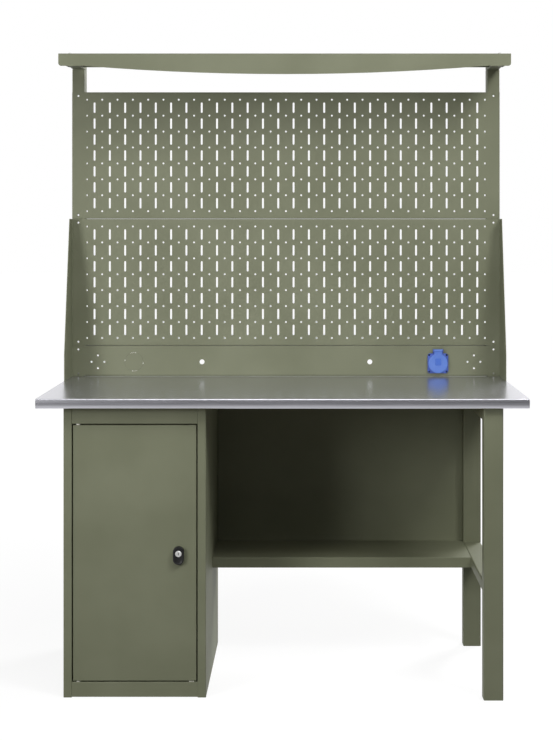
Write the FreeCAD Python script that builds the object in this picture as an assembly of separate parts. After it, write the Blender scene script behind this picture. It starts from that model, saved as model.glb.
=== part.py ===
import FreeCAD, Part
import math
import os

# Workbench with a pedestal cabinet, a leg frame, perforated back panels and a canopy.
# Frame: origin on the floor under the middle of the bench, +X right, +Y back, +Z up.

# Overall bench
BENCH_WIDTH = 1400.0
BENCH_DEPTH = 700.0
WORKTOP_HEIGHT = 860.0

# Values shared by the sheet metal work
SHEET = 1.2
BEND_RADIUS = 1.0
CUT_OVERRUN = 3.0
MOVING_CLEARANCE = 0.3
PIN_CLEARANCE = 0.05
SCREW_CLEARANCE = 0.1

# Worktop: steel cover folded over a board core
WORKTOP_THICKNESS = 28.0
COVER_SHEET = 1.5
COVER_EDGE_RADIUS = 4.0
COVER_LIP = 22.0

# Where the base stands under the worktop
BASE_SIDE_OVERHANG = 72.0
BASE_REAR_OVERHANG = 80.0
LEG_SETBACK = 20.0
CABINET_SETBACK = 48.0

# Pedestal cabinet
CABINET_WIDTH = 408.0
STILE_WIDTH = 24.0
STILE_RETURN = 24.0
DOOR_STOP_LIP = 12.0
CABINET_REAR_FLANGE = 26.0
PLINTH_HEIGHT = 44.0
PLINTH_RECESS = 1.5
PLINTH_FLOOR_GAP = 1.5
FLOOR_REAR_FLANGE = 20.0
TOP_RAIL_HEIGHT = 49.0
TOP_RAIL_UPTURN = 18.0
ROOF_FLANGE = 16.0
SHELF_HEIGHT = 470.0
SHELF_SETBACK = 60.0
SHELF_FLANGE = 22.0
SHELF_HEM = 12.0
SHELF_SIDE_CLEARANCE = 1.0
CLIP_LEG = 16.0
CLIP_WIDTH = 24.0
CLIP_INSET = 70.0

# Cabinet door and its pivots
DOOR_GAP = 3.5
DOOR_DEPTH = 20.0
DOOR_EDGE_RETURN = 12.0
STIFFENER_FLANGE = 15.0
STIFFENER_CROWN = 34.0
STIFFENER_RISE = 12.0
STIFFENER_END_INSET = 40.0
PIVOT_INSET = 15.0
PIVOT_DIAMETER = 6.0
PIVOT_HEAD_DIAMETER = 10.0
PIVOT_HEAD_HEIGHT = 3.0
PIVOT_PLATE_LENGTH = 32.0
PIVOT_PLATE_THICKNESS = 3.0
PIVOT_TIP = 4.0
WASHER_DIAMETER = 14.0
BUFFER_DIAMETER = 8.0
BUFFER_INSET = 110.0
GLIDE_LENGTH = 14.0
GLIDE_DEPTH = 12.0

# Door lock
LOCK_INSET = 50.5
PULL_WIDTH = 31.0
PULL_LENGTH = 52.0
PULL_ABOVE_LOCK = 20.0
PULL_PROJECTION = 13.0
PULL_EDGE_RADIUS = 3.0
PULL_SCOOP_RADIUS = 18.0
PULL_SCOOP_DEPTH = 4.0
LOCK_DIAMETER = 18.0
LOCK_PROUD = 1.0
LOCK_CORE_DIAMETER = 13.0
LOCK_KEYWAY_WIDTH = 2.0
LOCK_KEYWAY_LENGTH = 8.0
LOCK_KEYWAY_DEPTH = 15.0
LOCK_NUT_ACROSS = 24.0
LOCK_NUT_HEIGHT = 5.0
CAM_LENGTH = 48.0
CAM_WIDTH = 16.0
CAM_THICKNESS = 2.0
CAM_CLEARANCE = 1.2
CAM_SCREW_DIAMETER = 5.0
CAM_SCREW_HEAD_DIAMETER = 9.0
CAM_SCREW_HEAD_HEIGHT = 3.0
CAM_SCREW_LENGTH = 10.0

# Leg frame
LEG_WIDTH = 56.0
LEG_DEPTH = 46.0
TUBE_WALL = 2.0
TUBE_RADIUS = 4.0
TOP_RAIL_TUBE_HEIGHT = 40.0
PLUG_HEIGHT = 16.0
PLUG_CLEARANCE = 0.2

# Under-shelf and modesty panel
UNDER_SHELF_HEIGHT = 334.0
UNDER_SHELF_FLANGE = 32.0
UNDER_SHELF_DEPTH = 251.0
UNDER_SHELF_RETURN = 14.0
MODESTY_FLANGE = 16.0
MODESTY_BOLT_INSET = 9.0
MODESTY_BOLT_MARGIN = 85.0
MODESTY_BOLT_DIAMETER = 6.0
MODESTY_BOLT_LENGTH = 12.0
MODESTY_BOLT_HEAD_DIAMETER = 10.0
MODESTY_BOLT_HEAD_HEIGHT = 3.5

# Screws that hold the worktop from below
WORKTOP_SCREW_DIAMETER = 5.0
WORKTOP_SCREW_HEAD_DIAMETER = 10.0
WORKTOP_SCREW_HEAD_HEIGHT = 3.0
WORKTOP_SCREW_BITE = 18.0
WORKTOP_SCREW_MARGIN = 60.0

# Posts behind the panels
PANEL_REAR_INSET = 52.0
POST_WIDTH = 40.0
POST_SHEET = 2.0
POST_SIDE_INSET = 2.0
POST_FOOT_THICKNESS = 4.0
POST_BOLT_DIAMETER = 8.0
POST_BOLT_PITCH = 21.0
POST_BOLT_ACROSS = 13.0
POST_BOLT_HEAD_HEIGHT = 5.3
POST_NUT_HEIGHT = 6.5
POST_BOLT_TIP = 4.0

# Perforated panels
PANEL_SHEET = 1.5
PANEL_HEIGHT = 413.0
PANEL_JOINT_GAP = 1.0
PANEL_FOLD = 15.0
PANEL_FOLD_BEND = 1.5
PANEL_FOLD_LAND = 10.0
PANEL_FOLD_POST_CLEARANCE = 3.0
PEG_COLUMN_PITCH = 50.0
PEG_ROW_PITCH = 52.0
PEG_EDGE_MARGIN = 20.0
SLOT_WIDTH = 6.0
SLOT_LENGTH = 34.0
FIXING_HOLE_DIAMETER = 6.0
FIXING_HOLE_EDGE = 12.0

# Service panel under the perforated panels
SERVICE_BOTTOM_GAP = 3.0
SERVICE_HEIGHT = 97.0
SERVICE_LOWER_FIXING_EDGE = 6.0
SERVICE_FEATURE_DROP = 4.0
CLUSTER_POST_GAP = 44.0
CLUSTER_DIAMETER = 42.0
CLUSTER_HOLE_DIAMETER = 6.0
PASS_HOLE_SIDE_INSET = 426.0
PASS_HOLE_DIAMETER = 16.0
KNOCKOUT_DIAMETER = 60.0
KNOCKOUT_KERF = 0.5
KNOCKOUT_PIERCE_DIAMETER = 2.4
KNOCKOUT_TURN_ANGLE = -10.0
KNOCKOUT_BRIDGE_ANGLE = 12.0

# Side gussets
GUSSET_SHEET = 2.0
GUSSET_BASE_REACH = 150.0
GUSSET_TOP_REACH = 46.0
GUSSET_UPRIGHT = 84.0

# Canopy
CANOPY_TOP = 1884.0
CANOPY_REACH = 259.0
CANOPY_DEPTH = 212.0
CANOPY_REAR_FLANGE = 20.0
FASCIA_END_HEIGHT = 38.5
FASCIA_MIDDLE_HEIGHT = 64.0
FASCIA_STRAIGHT_END = 80.0
FASCIA_CORNER_RADIUS = 9.0
FASCIA_FOLD_LAND = 12.0
ARM_HEIGHT = 20.0
ARM_NOTCH_CLEARANCE = 0.5
CANOPY_SCREW_POST_INSET = 8.0
CANOPY_SCREW_EDGE = 12.0
CANOPY_SCREW_DIAMETER = 5.0
CANOPY_SCREW_HEAD_DIAMETER = 9.0
CANOPY_SCREW_HEAD_HEIGHT = 3.0
CANOPY_SCREW_LENGTH = 10.0

# Panel socket with a hinged lid
SOCKET_SIDE_INSET = 204.0
SOCKET_DROP = 8.5
SOCKET_WIDTH = 67.0
SOCKET_PLATE_HEIGHT = 64.0
SOCKET_PLATE_THICKNESS = 6.0
SOCKET_CORNER_RADIUS = 8.0
SOCKET_CUP_DIAMETER = 50.0
SOCKET_BORE_DIAMETER = 45.0
SOCKET_CUP_DEPTH = 24.0
SOCKET_INSERT_THICKNESS = 8.0
SOCKET_PIN_HOLE_DIAMETER = 5.0
SOCKET_PIN_PITCH = 19.0
SOCKET_BOX_WALL = 2.0
SOCKET_BOX_DEPTH = 42.0
SOCKET_SCREW_X = 28.5
SOCKET_SCREW_Z = 27.0
SOCKET_SCREW_DIAMETER = 3.5
SOCKET_SCREW_HEAD_DIAMETER = 6.5
SOCKET_SCREW_HEAD_HEIGHT = 2.5
SOCKET_SCREW_LENGTH = 10.0
LID_DIAMETER = 63.0
LID_THICKNESS = 6.0
LID_BOSS_WIDTH = 19.0
LID_BOSS_HEIGHT = 23.0
LID_BOSS_RISE = 5.0
LID_BOSS_PROUD = 2.0
HINGE_RISE = 41.9
HINGE_WIDTH = 33.0
HINGE_BARREL_DIAMETER = 9.0
HINGE_EAR_WIDTH = 3.7
HINGE_PIN_DIAMETER = 3.0
SPRING_DIAMETER = 6.0
SPRING_LENGTH = 8.0

# Places worked out from the sizes above
FRONT_Y = -BENCH_DEPTH / 2
REAR_Y = BENCH_DEPTH / 2
SIDE_X = BENCH_WIDTH / 2
WORKTOP_BOTTOM = WORKTOP_HEIGHT - WORKTOP_THICKNESS
BASE_REAR_Y = REAR_Y - BASE_REAR_OVERHANG
CABINET_LEFT_X = BASE_SIDE_OVERHANG - SIDE_X
CABINET_RIGHT_X = CABINET_LEFT_X + CABINET_WIDTH
CABINET_FRONT_Y = FRONT_Y + CABINET_SETBACK
OPENING_LEFT_X = CABINET_LEFT_X + STILE_WIDTH
OPENING_RIGHT_X = CABINET_RIGHT_X - STILE_WIDTH
OPENING_TOP_Z = WORKTOP_BOTTOM - TOP_RAIL_HEIGHT
BACK_PANEL_REAR_Y = BASE_REAR_Y - SHEET
BACK_PANEL_FRONT_Y = BACK_PANEL_REAR_Y - SHEET
STOP_LIP_Y = CABINET_FRONT_Y + STILE_RETURN
DOOR_LEFT_X = OPENING_LEFT_X + DOOR_GAP
DOOR_RIGHT_X = OPENING_RIGHT_X - DOOR_GAP
DOOR_BOTTOM_Z = PLINTH_HEIGHT + DOOR_GAP
DOOR_TOP_Z = OPENING_TOP_Z - DOOR_GAP
DOOR_REAR_Y = CABINET_FRONT_Y + DOOR_DEPTH
PIVOT_X = DOOR_LEFT_X + PIVOT_INSET
PIVOT_Y = CABINET_FRONT_Y + DOOR_DEPTH / 2
LOCK_X = DOOR_RIGHT_X - LOCK_INSET
LOCK_Z = (DOOR_BOTTOM_Z + DOOR_TOP_Z) / 2
CAM_FRONT_Y = STOP_LIP_Y + SHEET + CAM_CLEARANCE
LEG_OUTER_X = SIDE_X - BASE_SIDE_OVERHANG
LEG_INNER_X = LEG_OUTER_X - LEG_WIDTH
FRONT_LEG_Y = FRONT_Y + LEG_SETBACK
REAR_LEG_Y = BASE_REAR_Y - LEG_DEPTH
UNDER_SHELF_BOTTOM = UNDER_SHELF_HEIGHT - UNDER_SHELF_FLANGE
MODESTY_Y = BASE_REAR_Y - MODESTY_FLANGE
UNDER_SHELF_FRONT_Y = MODESTY_Y - UNDER_SHELF_DEPTH
PANEL_Y = REAR_Y - PANEL_REAR_INSET
POST_FRONT_Y = PANEL_Y + PANEL_SHEET
POST_OUTER_X = SIDE_X - POST_SIDE_INSET
POST_INNER_X = POST_OUTER_X - POST_WIDTH
POST_MIDDLE_X = POST_OUTER_X - POST_WIDTH / 2
POST_FOOT_Y = POST_FRONT_Y + POST_SHEET
FOLD_HALF_WIDTH = POST_INNER_X - PANEL_FOLD_POST_CLEARANCE
PEG_COLUMNS = 1 + int(2 * (FOLD_HALF_WIDTH - PEG_EDGE_MARGIN) / PEG_COLUMN_PITCH)
PEG_ROWS = 1 + int((PANEL_HEIGHT - SLOT_LENGTH - 2 * PEG_EDGE_MARGIN) / PEG_ROW_PITCH)
SERVICE_BOTTOM_Z = WORKTOP_HEIGHT + SERVICE_BOTTOM_GAP
SERVICE_TOP_Z = SERVICE_BOTTOM_Z + SERVICE_HEIGHT
SERVICE_MIDDLE_Z = (SERVICE_BOTTOM_Z + SERVICE_TOP_Z) / 2
SERVICE_FEATURE_Z = SERVICE_MIDDLE_Z - SERVICE_FEATURE_DROP
CLUSTER_X = POST_INNER_X - CLUSTER_POST_GAP
PASS_HOLE_X = SIDE_X - PASS_HOLE_SIDE_INSET
SOCKET_X = SIDE_X - SOCKET_SIDE_INSET
SOCKET_Z = SERVICE_MIDDLE_Z - SOCKET_DROP
LOWER_PANEL_Z = SERVICE_TOP_Z + PANEL_JOINT_GAP
UPPER_PANEL_Z = LOWER_PANEL_Z + PANEL_HEIGHT + PANEL_JOINT_GAP
GUSSET_TOP_Z = LOWER_PANEL_Z + PANEL_HEIGHT
CANOPY_FRONT_Y = PANEL_Y - CANOPY_REACH
CANOPY_REAR_Y = CANOPY_FRONT_Y + CANOPY_DEPTH
CANOPY_SCREW_X = POST_INNER_X + CANOPY_SCREW_POST_INSET
ARM_TOP_Z = CANOPY_TOP - SHEET
ARM_BOTTOM_Z = ARM_TOP_Z - ARM_HEIGHT
SOCKET_FRONT_Y = PANEL_Y - SOCKET_PLATE_THICKNESS
LID_REAR_Y = SOCKET_FRONT_Y - MOVING_CLEARANCE
LID_FRONT_Y = LID_REAR_Y - LID_THICKNESS
HINGE_Y = SOCKET_FRONT_Y - HINGE_BARREL_DIAMETER / 2
HINGE_Z = SOCKET_Z + HINGE_RISE
EAR_INNER_ACROSS = HINGE_WIDTH / 2 - HINGE_EAR_WIDTH
KNUCKLE_ACROSS = EAR_INNER_ACROSS - MOVING_CLEARANCE

# Views in which outlines are drawn: plan is X and Y, side is Y and Z, front is X and Z.
X_AXIS = FreeCAD.Vector(1, 0, 0)
Y_AXIS = FreeCAD.Vector(0, 1, 0)
Z_AXIS = FreeCAD.Vector(0, 0, 1)
SIDE_TURN = FreeCAD.Rotation(Y_AXIS, Z_AXIS, X_AXIS, "XYZ")
FRONT_TURN = FreeCAD.Rotation(X_AXIS, Z_AXIS, Y_AXIS.negative(), "XYZ")


def save(name, *solids):
    """Write one piece, or a group of like pieces, under its name."""
    shape = solids[0] if len(solids) == 1 else Part.makeCompound(list(solids))
    shape.exportStep("parts/" + name + ".step")


def corner(point, before, after, radius):
    """Start, middle and end of the arc that rounds one corner of an outline."""
    back = (before - point).normalize()
    ahead = (after - point).normalize()
    half_angle = back.getAngle(ahead) / 2
    reach = radius / math.tan(half_angle)
    middle_direction = (back + ahead).normalize()
    centre = point + middle_direction * (radius / math.sin(half_angle))
    return point + back * reach, centre - middle_direction * radius, point + ahead * reach


def outline_wire(outline):
    """Closed wire through (u, v) or (u, v, corner radius) points, in the plane of u and v."""
    points = [FreeCAD.Vector(entry[0], entry[1], 0) for entry in outline]
    edges = []
    stops = []
    for index, entry in enumerate(outline):
        radius = entry[2] if len(entry) > 2 else 0
        if radius > 0:
            after = points[(index + 1) % len(points)]
            start, middle, end = corner(points[index], points[index - 1], after, radius)
            stops.append((start, end))
            edges.append(Part.Arc(start, middle, end).toShape())
        else:
            stops.append((points[index], points[index]))
    for index, stop in enumerate(stops):
        following = stops[(index + 1) % len(stops)]
        edges.append(Part.LineSegment(stop[1], following[0]).toShape())
    return Part.Wire(Part.__sortEdges__(edges))


def circle_wire(u, v, diameter):
    """Round hole outline about the point (u, v)."""
    return Part.Wire(Part.makeCircle(diameter / 2, FreeCAD.Vector(u, v, 0)))


def holed_face(wires):
    """Flat face inside the first outline, with the others as holes."""
    return Part.makeFace(Part.makeCompound(wires), "Part::FaceMakerBullseye")


def plan_plate(wires, low_z, high_z):
    """Extrude plan outlines, the first with the others as holes, between two heights."""
    solid = holed_face(wires).extrude(Z_AXIS * (high_z - low_z))
    solid.translate(Z_AXIS * low_z)
    return solid


def side_plate(wires, low_x, high_x):
    """Extrude side view outlines across the bench."""
    solid = holed_face(wires).extrude(Z_AXIS * (high_x - low_x))
    solid.Placement = FreeCAD.Placement(X_AXIS * low_x, SIDE_TURN)
    return solid


def front_plate(wires, front_y, rear_y):
    """Extrude front view outlines from front to rear."""
    solid = holed_face(wires).extrude(Z_AXIS * (rear_y - front_y))
    solid.Placement = FreeCAD.Placement(Y_AXIS * rear_y, FRONT_TURN)
    return solid


def rectangle(low_u, low_v, high_u, high_v, radius=0):
    """Rectangle outline with equal corner radii."""
    corners = ((low_u, low_v), (high_u, low_v), (high_u, high_v), (low_u, high_v))
    return outline_wire([(u, v, radius) for u, v in corners])


def sheet_wire(path, thickness=SHEET, bend=BEND_RADIUS):
    """Outline of folded sheet: its outer face follows the path, the metal lies on the left."""
    points = [FreeCAD.Vector(u, v, 0) for u, v in path]
    headings = [(b - a).normalize() for a, b in zip(points, points[1:])]
    lefts = [FreeCAD.Vector(-h.y, h.x, 0) for h in headings]
    outer = [(points[0].x, points[0].y)]
    first = points[0] + lefts[0] * thickness
    inner = [(first.x, first.y)]
    for index in range(1, len(points) - 1):
        turn = headings[index - 1].cross(headings[index]).z
        shift = (lefts[index - 1] + lefts[index]) / (1 + lefts[index - 1].dot(lefts[index]))
        inside = points[index] + shift * thickness
        outer_radius = bend + thickness if turn > 0 else bend
        inner_radius = bend if turn > 0 else bend + thickness
        outer.append((points[index].x, points[index].y, outer_radius))
        inner.append((inside.x, inside.y, inner_radius))
    last = points[-1] + lefts[-1] * thickness
    outer.append((points[-1].x, points[-1].y))
    inner.append((last.x, last.y))
    return outline_wire(outer + inner[::-1])


def box(low_x, high_x, low_y, high_y, low_z, high_z):
    """Block between two corners, for cuts and plain blocks."""
    size = (high_x - low_x, high_y - low_y, high_z - low_z)
    return Part.makeBox(*size, FreeCAD.Vector(low_x, low_y, low_z))


def rod(diameter, start, end):
    """Round bar between two points."""
    line = end - start
    return Part.makeCylinder(diameter / 2, line.Length, start, line)


def hole_z(x, y, diameter, low_z, high_z):
    """Upright drill that runs past both heights."""
    start = FreeCAD.Vector(x, y, low_z - CUT_OVERRUN)
    return rod(diameter, start, FreeCAD.Vector(x, y, high_z + CUT_OVERRUN))


def hole_y(x, z, diameter, front_y, rear_y):
    """Drill from front to rear that runs past both faces."""
    start = FreeCAD.Vector(x, front_y - CUT_OVERRUN, z)
    return rod(diameter, start, FreeCAD.Vector(x, rear_y + CUT_OVERRUN, z))


def hole_x(y, z, diameter, low_x, high_x):
    """Drill across the bench that runs past both faces."""
    start = FreeCAD.Vector(low_x - CUT_OVERRUN, y, z)
    return rod(diameter, start, FreeCAD.Vector(high_x + CUT_OVERRUN, y, z))


def headed(seat, direction, head_diameter, head_height, diameter, length):
    """Fastener whose head stands on its seat and whose shank runs along the direction."""
    head = rod(head_diameter, seat - direction * head_height, seat)
    return head.fuse(rod(diameter, seat, seat + direction * length)).removeSplitter()


def hexagon(across, height, base):
    """Upright hexagon bar of a width across flats, standing on its base point."""
    sides = 6
    corner_radius = across / 2 / math.cos(math.pi / sides)
    corners = []
    for index in range(sides):
        angle = 2 * math.pi * index / sides
        corners.append((corner_radius * math.cos(angle), corner_radius * math.sin(angle)))
    solid = plan_plate([outline_wire(corners)], 0, height)
    solid.translate(base)
    return solid


def mirrored(shape):
    """The same piece on the other side of the bench."""
    return shape.mirror(FreeCAD.Vector(0, 0, 0), X_AXIS)


# Worktop, its screws and the bolts of the posts
def post_bolt_places():
    middle_y = (POST_FOOT_Y + REAR_Y) / 2
    places = []
    for x in (-POST_MIDDLE_X, POST_MIDDLE_X):
        for y in (middle_y - POST_BOLT_PITCH / 2, middle_y + POST_BOLT_PITCH / 2):
            places.append((x, y))
    return places


def cabinet_screw_places():
    places = []
    for x in (CABINET_LEFT_X + WORKTOP_SCREW_MARGIN, CABINET_RIGHT_X - WORKTOP_SCREW_MARGIN):
        for y in (STOP_LIP_Y + WORKTOP_SCREW_MARGIN, BASE_REAR_Y - WORKTOP_SCREW_MARGIN):
            places.append((x, y))
    return places


def rail_screw_places():
    x = LEG_INNER_X + LEG_WIDTH / 2
    first_y = FRONT_LEG_Y + LEG_DEPTH + WORKTOP_SCREW_MARGIN
    return [(x, first_y), (x, REAR_LEG_Y - WORKTOP_SCREW_MARGIN)]


def worktop_core_block(bottom):
    inner_radius = COVER_EDGE_RADIUS - COVER_SHEET
    front = FRONT_Y + COVER_SHEET
    rear = REAR_Y - COVER_SHEET
    top = WORKTOP_HEIGHT - COVER_SHEET
    lip_z = WORKTOP_BOTTOM + COVER_SHEET
    outline = [
        (front, lip_z, inner_radius),
        (FRONT_Y + COVER_LIP, lip_z),
        (FRONT_Y + COVER_LIP, bottom),
        (rear, bottom),
        (rear, top),
        (front, top, inner_radius),
    ]
    half_width = SIDE_X - COVER_SHEET
    return side_plate([outline_wire(outline)], -half_width, half_width)


def worktop():
    hole_diameter = POST_BOLT_DIAMETER + 2 * SCREW_CLEARANCE
    bolt_holes = []
    for x, y in post_bolt_places():
        bolt_holes.append(hole_z(x, y, hole_diameter, WORKTOP_BOTTOM, WORKTOP_HEIGHT))
    screw_holes = []
    for x, y in cabinet_screw_places() + rail_screw_places():
        start = FreeCAD.Vector(x, y, WORKTOP_BOTTOM - CUT_OVERRUN)
        end = FreeCAD.Vector(x, y, WORKTOP_BOTTOM + WORKTOP_SCREW_BITE + SCREW_CLEARANCE)
        screw_holes.append(rod(WORKTOP_SCREW_DIAMETER + 2 * SCREW_CLEARANCE, start, end))
    outline = [
        (FRONT_Y, WORKTOP_BOTTOM, COVER_EDGE_RADIUS),
        (REAR_Y, WORKTOP_BOTTOM),
        (REAR_Y, WORKTOP_HEIGHT),
        (FRONT_Y, WORKTOP_HEIGHT, COVER_EDGE_RADIUS),
    ]
    cover = side_plate([outline_wire(outline)], -SIDE_X, SIDE_X)
    cover = cover.cut(worktop_core_block(WORKTOP_BOTTOM - CUT_OVERRUN))
    save("worktop_cover", cover.cut(bolt_holes))
    save("worktop_core", worktop_core_block(WORKTOP_BOTTOM).cut(bolt_holes + screw_holes))


def worktop_screws():
    sizes = (WORKTOP_SCREW_HEAD_DIAMETER, WORKTOP_SCREW_HEAD_HEIGHT, WORKTOP_SCREW_DIAMETER)
    screws = []
    for x, y in cabinet_screw_places():
        seat = FreeCAD.Vector(x, y, WORKTOP_BOTTOM - SHEET)
        screws.append(headed(seat, Z_AXIS, *sizes, SHEET + WORKTOP_SCREW_BITE))
    for x, y in rail_screw_places():
        seat = FreeCAD.Vector(x, y, WORKTOP_BOTTOM - TOP_RAIL_TUBE_HEIGHT)
        screws.append(headed(seat, Z_AXIS, *sizes, TOP_RAIL_TUBE_HEIGHT + WORKTOP_SCREW_BITE))
    save("worktop_screws", *screws)


# Cabinet shell
def cabinet_sides():
    left_path = [
        (CABINET_LEFT_X + CABINET_REAR_FLANGE, BASE_REAR_Y),
        (CABINET_LEFT_X, BASE_REAR_Y),
        (CABINET_LEFT_X, CABINET_FRONT_Y),
        (OPENING_LEFT_X, CABINET_FRONT_Y),
        (OPENING_LEFT_X, STOP_LIP_Y),
    ]
    save("cabinet_left_side", plan_plate([sheet_wire(left_path)], 0, WORKTOP_BOTTOM))
    right_path = [
        (OPENING_RIGHT_X, STOP_LIP_Y + SHEET),
        (OPENING_RIGHT_X, CABINET_FRONT_Y),
        (CABINET_RIGHT_X, CABINET_FRONT_Y),
        (CABINET_RIGHT_X, BASE_REAR_Y),
        (CABINET_RIGHT_X - CABINET_REAR_FLANGE, BASE_REAR_Y),
    ]
    right = plan_plate([sheet_wire(right_path)], 0, WORKTOP_BOTTOM)
    lip = box(OPENING_RIGHT_X - DOOR_STOP_LIP, OPENING_RIGHT_X,
              STOP_LIP_Y, STOP_LIP_Y + SHEET, PLINTH_HEIGHT, OPENING_TOP_Z)
    right = right.fuse(lip).removeSplitter()
    hole_diameter = MODESTY_BOLT_DIAMETER + 2 * SCREW_CLEARANCE
    bolt_holes = []
    for z in modesty_bolt_heights():
        bolt_holes.append(hole_x(MODESTY_Y + MODESTY_BOLT_INSET, z, hole_diameter,
                                 CABINET_RIGHT_X - SHEET, CABINET_RIGHT_X))
    save("cabinet_right_side", right.cut(bolt_holes))


def cabinet_inside_width():
    return CABINET_LEFT_X + SHEET, CABINET_RIGHT_X - SHEET


def cabinet_back():
    low_x, high_x = cabinet_inside_width()
    wire = rectangle(low_x + BEND_RADIUS, 0, high_x - BEND_RADIUS, WORKTOP_BOTTOM)
    save("cabinet_back", front_plate([wire], BACK_PANEL_FRONT_Y, BACK_PANEL_REAR_Y))


def cabinet_floor():
    plinth_y = CABINET_FRONT_Y + PLINTH_RECESS
    path = [
        (BACK_PANEL_FRONT_Y, PLINTH_HEIGHT - FLOOR_REAR_FLANGE),
        (BACK_PANEL_FRONT_Y, PLINTH_HEIGHT),
        (plinth_y, PLINTH_HEIGHT),
        (plinth_y, PLINTH_FLOOR_GAP),
    ]
    low_x, high_x = cabinet_inside_width()
    floor = side_plate([sheet_wire(path)], low_x, high_x)
    notch_rear_y = STOP_LIP_Y + SHEET
    notch_front_y = CABINET_FRONT_Y - CUT_OVERRUN
    notch_top_z = PLINTH_HEIGHT + CUT_OVERRUN
    left_notch = box(CABINET_LEFT_X, OPENING_LEFT_X, notch_front_y, notch_rear_y, 0, notch_top_z)
    right_notch = box(OPENING_RIGHT_X, CABINET_RIGHT_X, notch_front_y, notch_rear_y, 0, notch_top_z)
    pivot = hole_z(PIVOT_X, PIVOT_Y, PIVOT_DIAMETER + 2 * PIN_CLEARANCE,
                   PLINTH_HEIGHT - SHEET, PLINTH_HEIGHT)
    save("cabinet_floor", floor.cut([left_notch, right_notch, pivot]))


def cabinet_top_rail():
    path = [
        (CABINET_FRONT_Y, WORKTOP_BOTTOM),
        (CABINET_FRONT_Y, OPENING_TOP_Z),
        (STOP_LIP_Y, OPENING_TOP_Z),
        (STOP_LIP_Y, OPENING_TOP_Z + TOP_RAIL_UPTURN),
    ]
    rail = side_plate([sheet_wire(path)], OPENING_LEFT_X, OPENING_RIGHT_X)
    pivot = hole_z(PIVOT_X, PIVOT_Y, PIVOT_DIAMETER + 2 * PIN_CLEARANCE,
                   OPENING_TOP_Z, OPENING_TOP_Z + SHEET)
    save("cabinet_top_rail", rail.cut(pivot))


def cabinet_roof():
    front_y = STOP_LIP_Y + SHEET
    path = [
        (BACK_PANEL_FRONT_Y, WORKTOP_BOTTOM - ROOF_FLANGE),
        (BACK_PANEL_FRONT_Y, WORKTOP_BOTTOM),
        (front_y, WORKTOP_BOTTOM),
        (front_y, WORKTOP_BOTTOM - ROOF_FLANGE),
    ]
    low_x, high_x = cabinet_inside_width()
    roof = side_plate([sheet_wire(path)], low_x, high_x)
    diameter = WORKTOP_SCREW_DIAMETER + 2 * SCREW_CLEARANCE
    holes = []
    for x, y in cabinet_screw_places():
        holes.append(hole_z(x, y, diameter, WORKTOP_BOTTOM - SHEET, WORKTOP_BOTTOM))
    save("cabinet_roof", roof.cut(holes))


def cabinet_shelf():
    rear_y = BACK_PANEL_FRONT_Y - SHELF_SIDE_CLEARANCE
    front_y = CABINET_FRONT_Y + SHELF_SETBACK
    path = [
        (rear_y, SHELF_HEIGHT - SHELF_FLANGE),
        (rear_y, SHELF_HEIGHT),
        (front_y, SHELF_HEIGHT),
        (front_y, SHELF_HEIGHT - SHELF_FLANGE),
        (front_y + SHELF_HEM, SHELF_HEIGHT - SHELF_FLANGE),
    ]
    low_x, high_x = cabinet_inside_width()
    low_x += SHELF_SIDE_CLEARANCE
    high_x -= SHELF_SIDE_CLEARANCE
    save("cabinet_shelf", side_plate([sheet_wire(path)], low_x, high_x))


def shelf_clips():
    low_x, high_x = cabinet_inside_width()
    top = SHELF_HEIGHT - SHEET
    left_path = [(low_x + CLIP_LEG, top), (low_x, top), (low_x, top - CLIP_LEG)]
    right_path = [(high_x, top - CLIP_LEG), (high_x, top), (high_x - CLIP_LEG, top)]
    first_y = CABINET_FRONT_Y + SHELF_SETBACK + CLIP_INSET
    last_y = BACK_PANEL_FRONT_Y - CLIP_INSET
    clips = []
    for path in (left_path, right_path):
        for y in (first_y, last_y):
            clips.append(front_plate([sheet_wire(path)], y - CLIP_WIDTH / 2, y + CLIP_WIDTH / 2))
    save("shelf_clips", *clips)


# Door, its pivots and rests
def door_panel():
    shell = box(DOOR_LEFT_X, DOOR_RIGHT_X, CABINET_FRONT_Y, DOOR_REAR_Y, DOOR_BOTTOM_Z, DOOR_TOP_Z)
    front_edges = []
    for edge in shell.Edges:
        box_of_edge = edge.BoundBox
        if box_of_edge.YMax < PIVOT_Y:
            front_edges.append(edge)
    shell = shell.makeFillet(BEND_RADIUS + SHEET, front_edges)
    hollow = box(DOOR_LEFT_X + SHEET, DOOR_RIGHT_X - SHEET, CABINET_FRONT_Y + SHEET,
                 DOOR_REAR_Y - SHEET, DOOR_BOTTOM_Z + SHEET, DOOR_TOP_Z - SHEET)
    window = box(DOOR_LEFT_X + DOOR_EDGE_RETURN, DOOR_RIGHT_X - DOOR_EDGE_RETURN,
                 DOOR_REAR_Y - SHEET, DOOR_REAR_Y + CUT_OVERRUN,
                 DOOR_BOTTOM_Z + DOOR_EDGE_RETURN, DOOR_TOP_Z - DOOR_EDGE_RETURN)
    pivots = hole_z(PIVOT_X, PIVOT_Y, PIVOT_DIAMETER + 2 * PIN_CLEARANCE, DOOR_BOTTOM_Z, DOOR_TOP_Z)
    lock = hole_y(LOCK_X, LOCK_Z, LOCK_DIAMETER + 2 * SCREW_CLEARANCE,
                  CABINET_FRONT_Y, CABINET_FRONT_Y + SHEET)
    save("door_panel", shell.cut([hollow, window, pivots, lock]))


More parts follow.
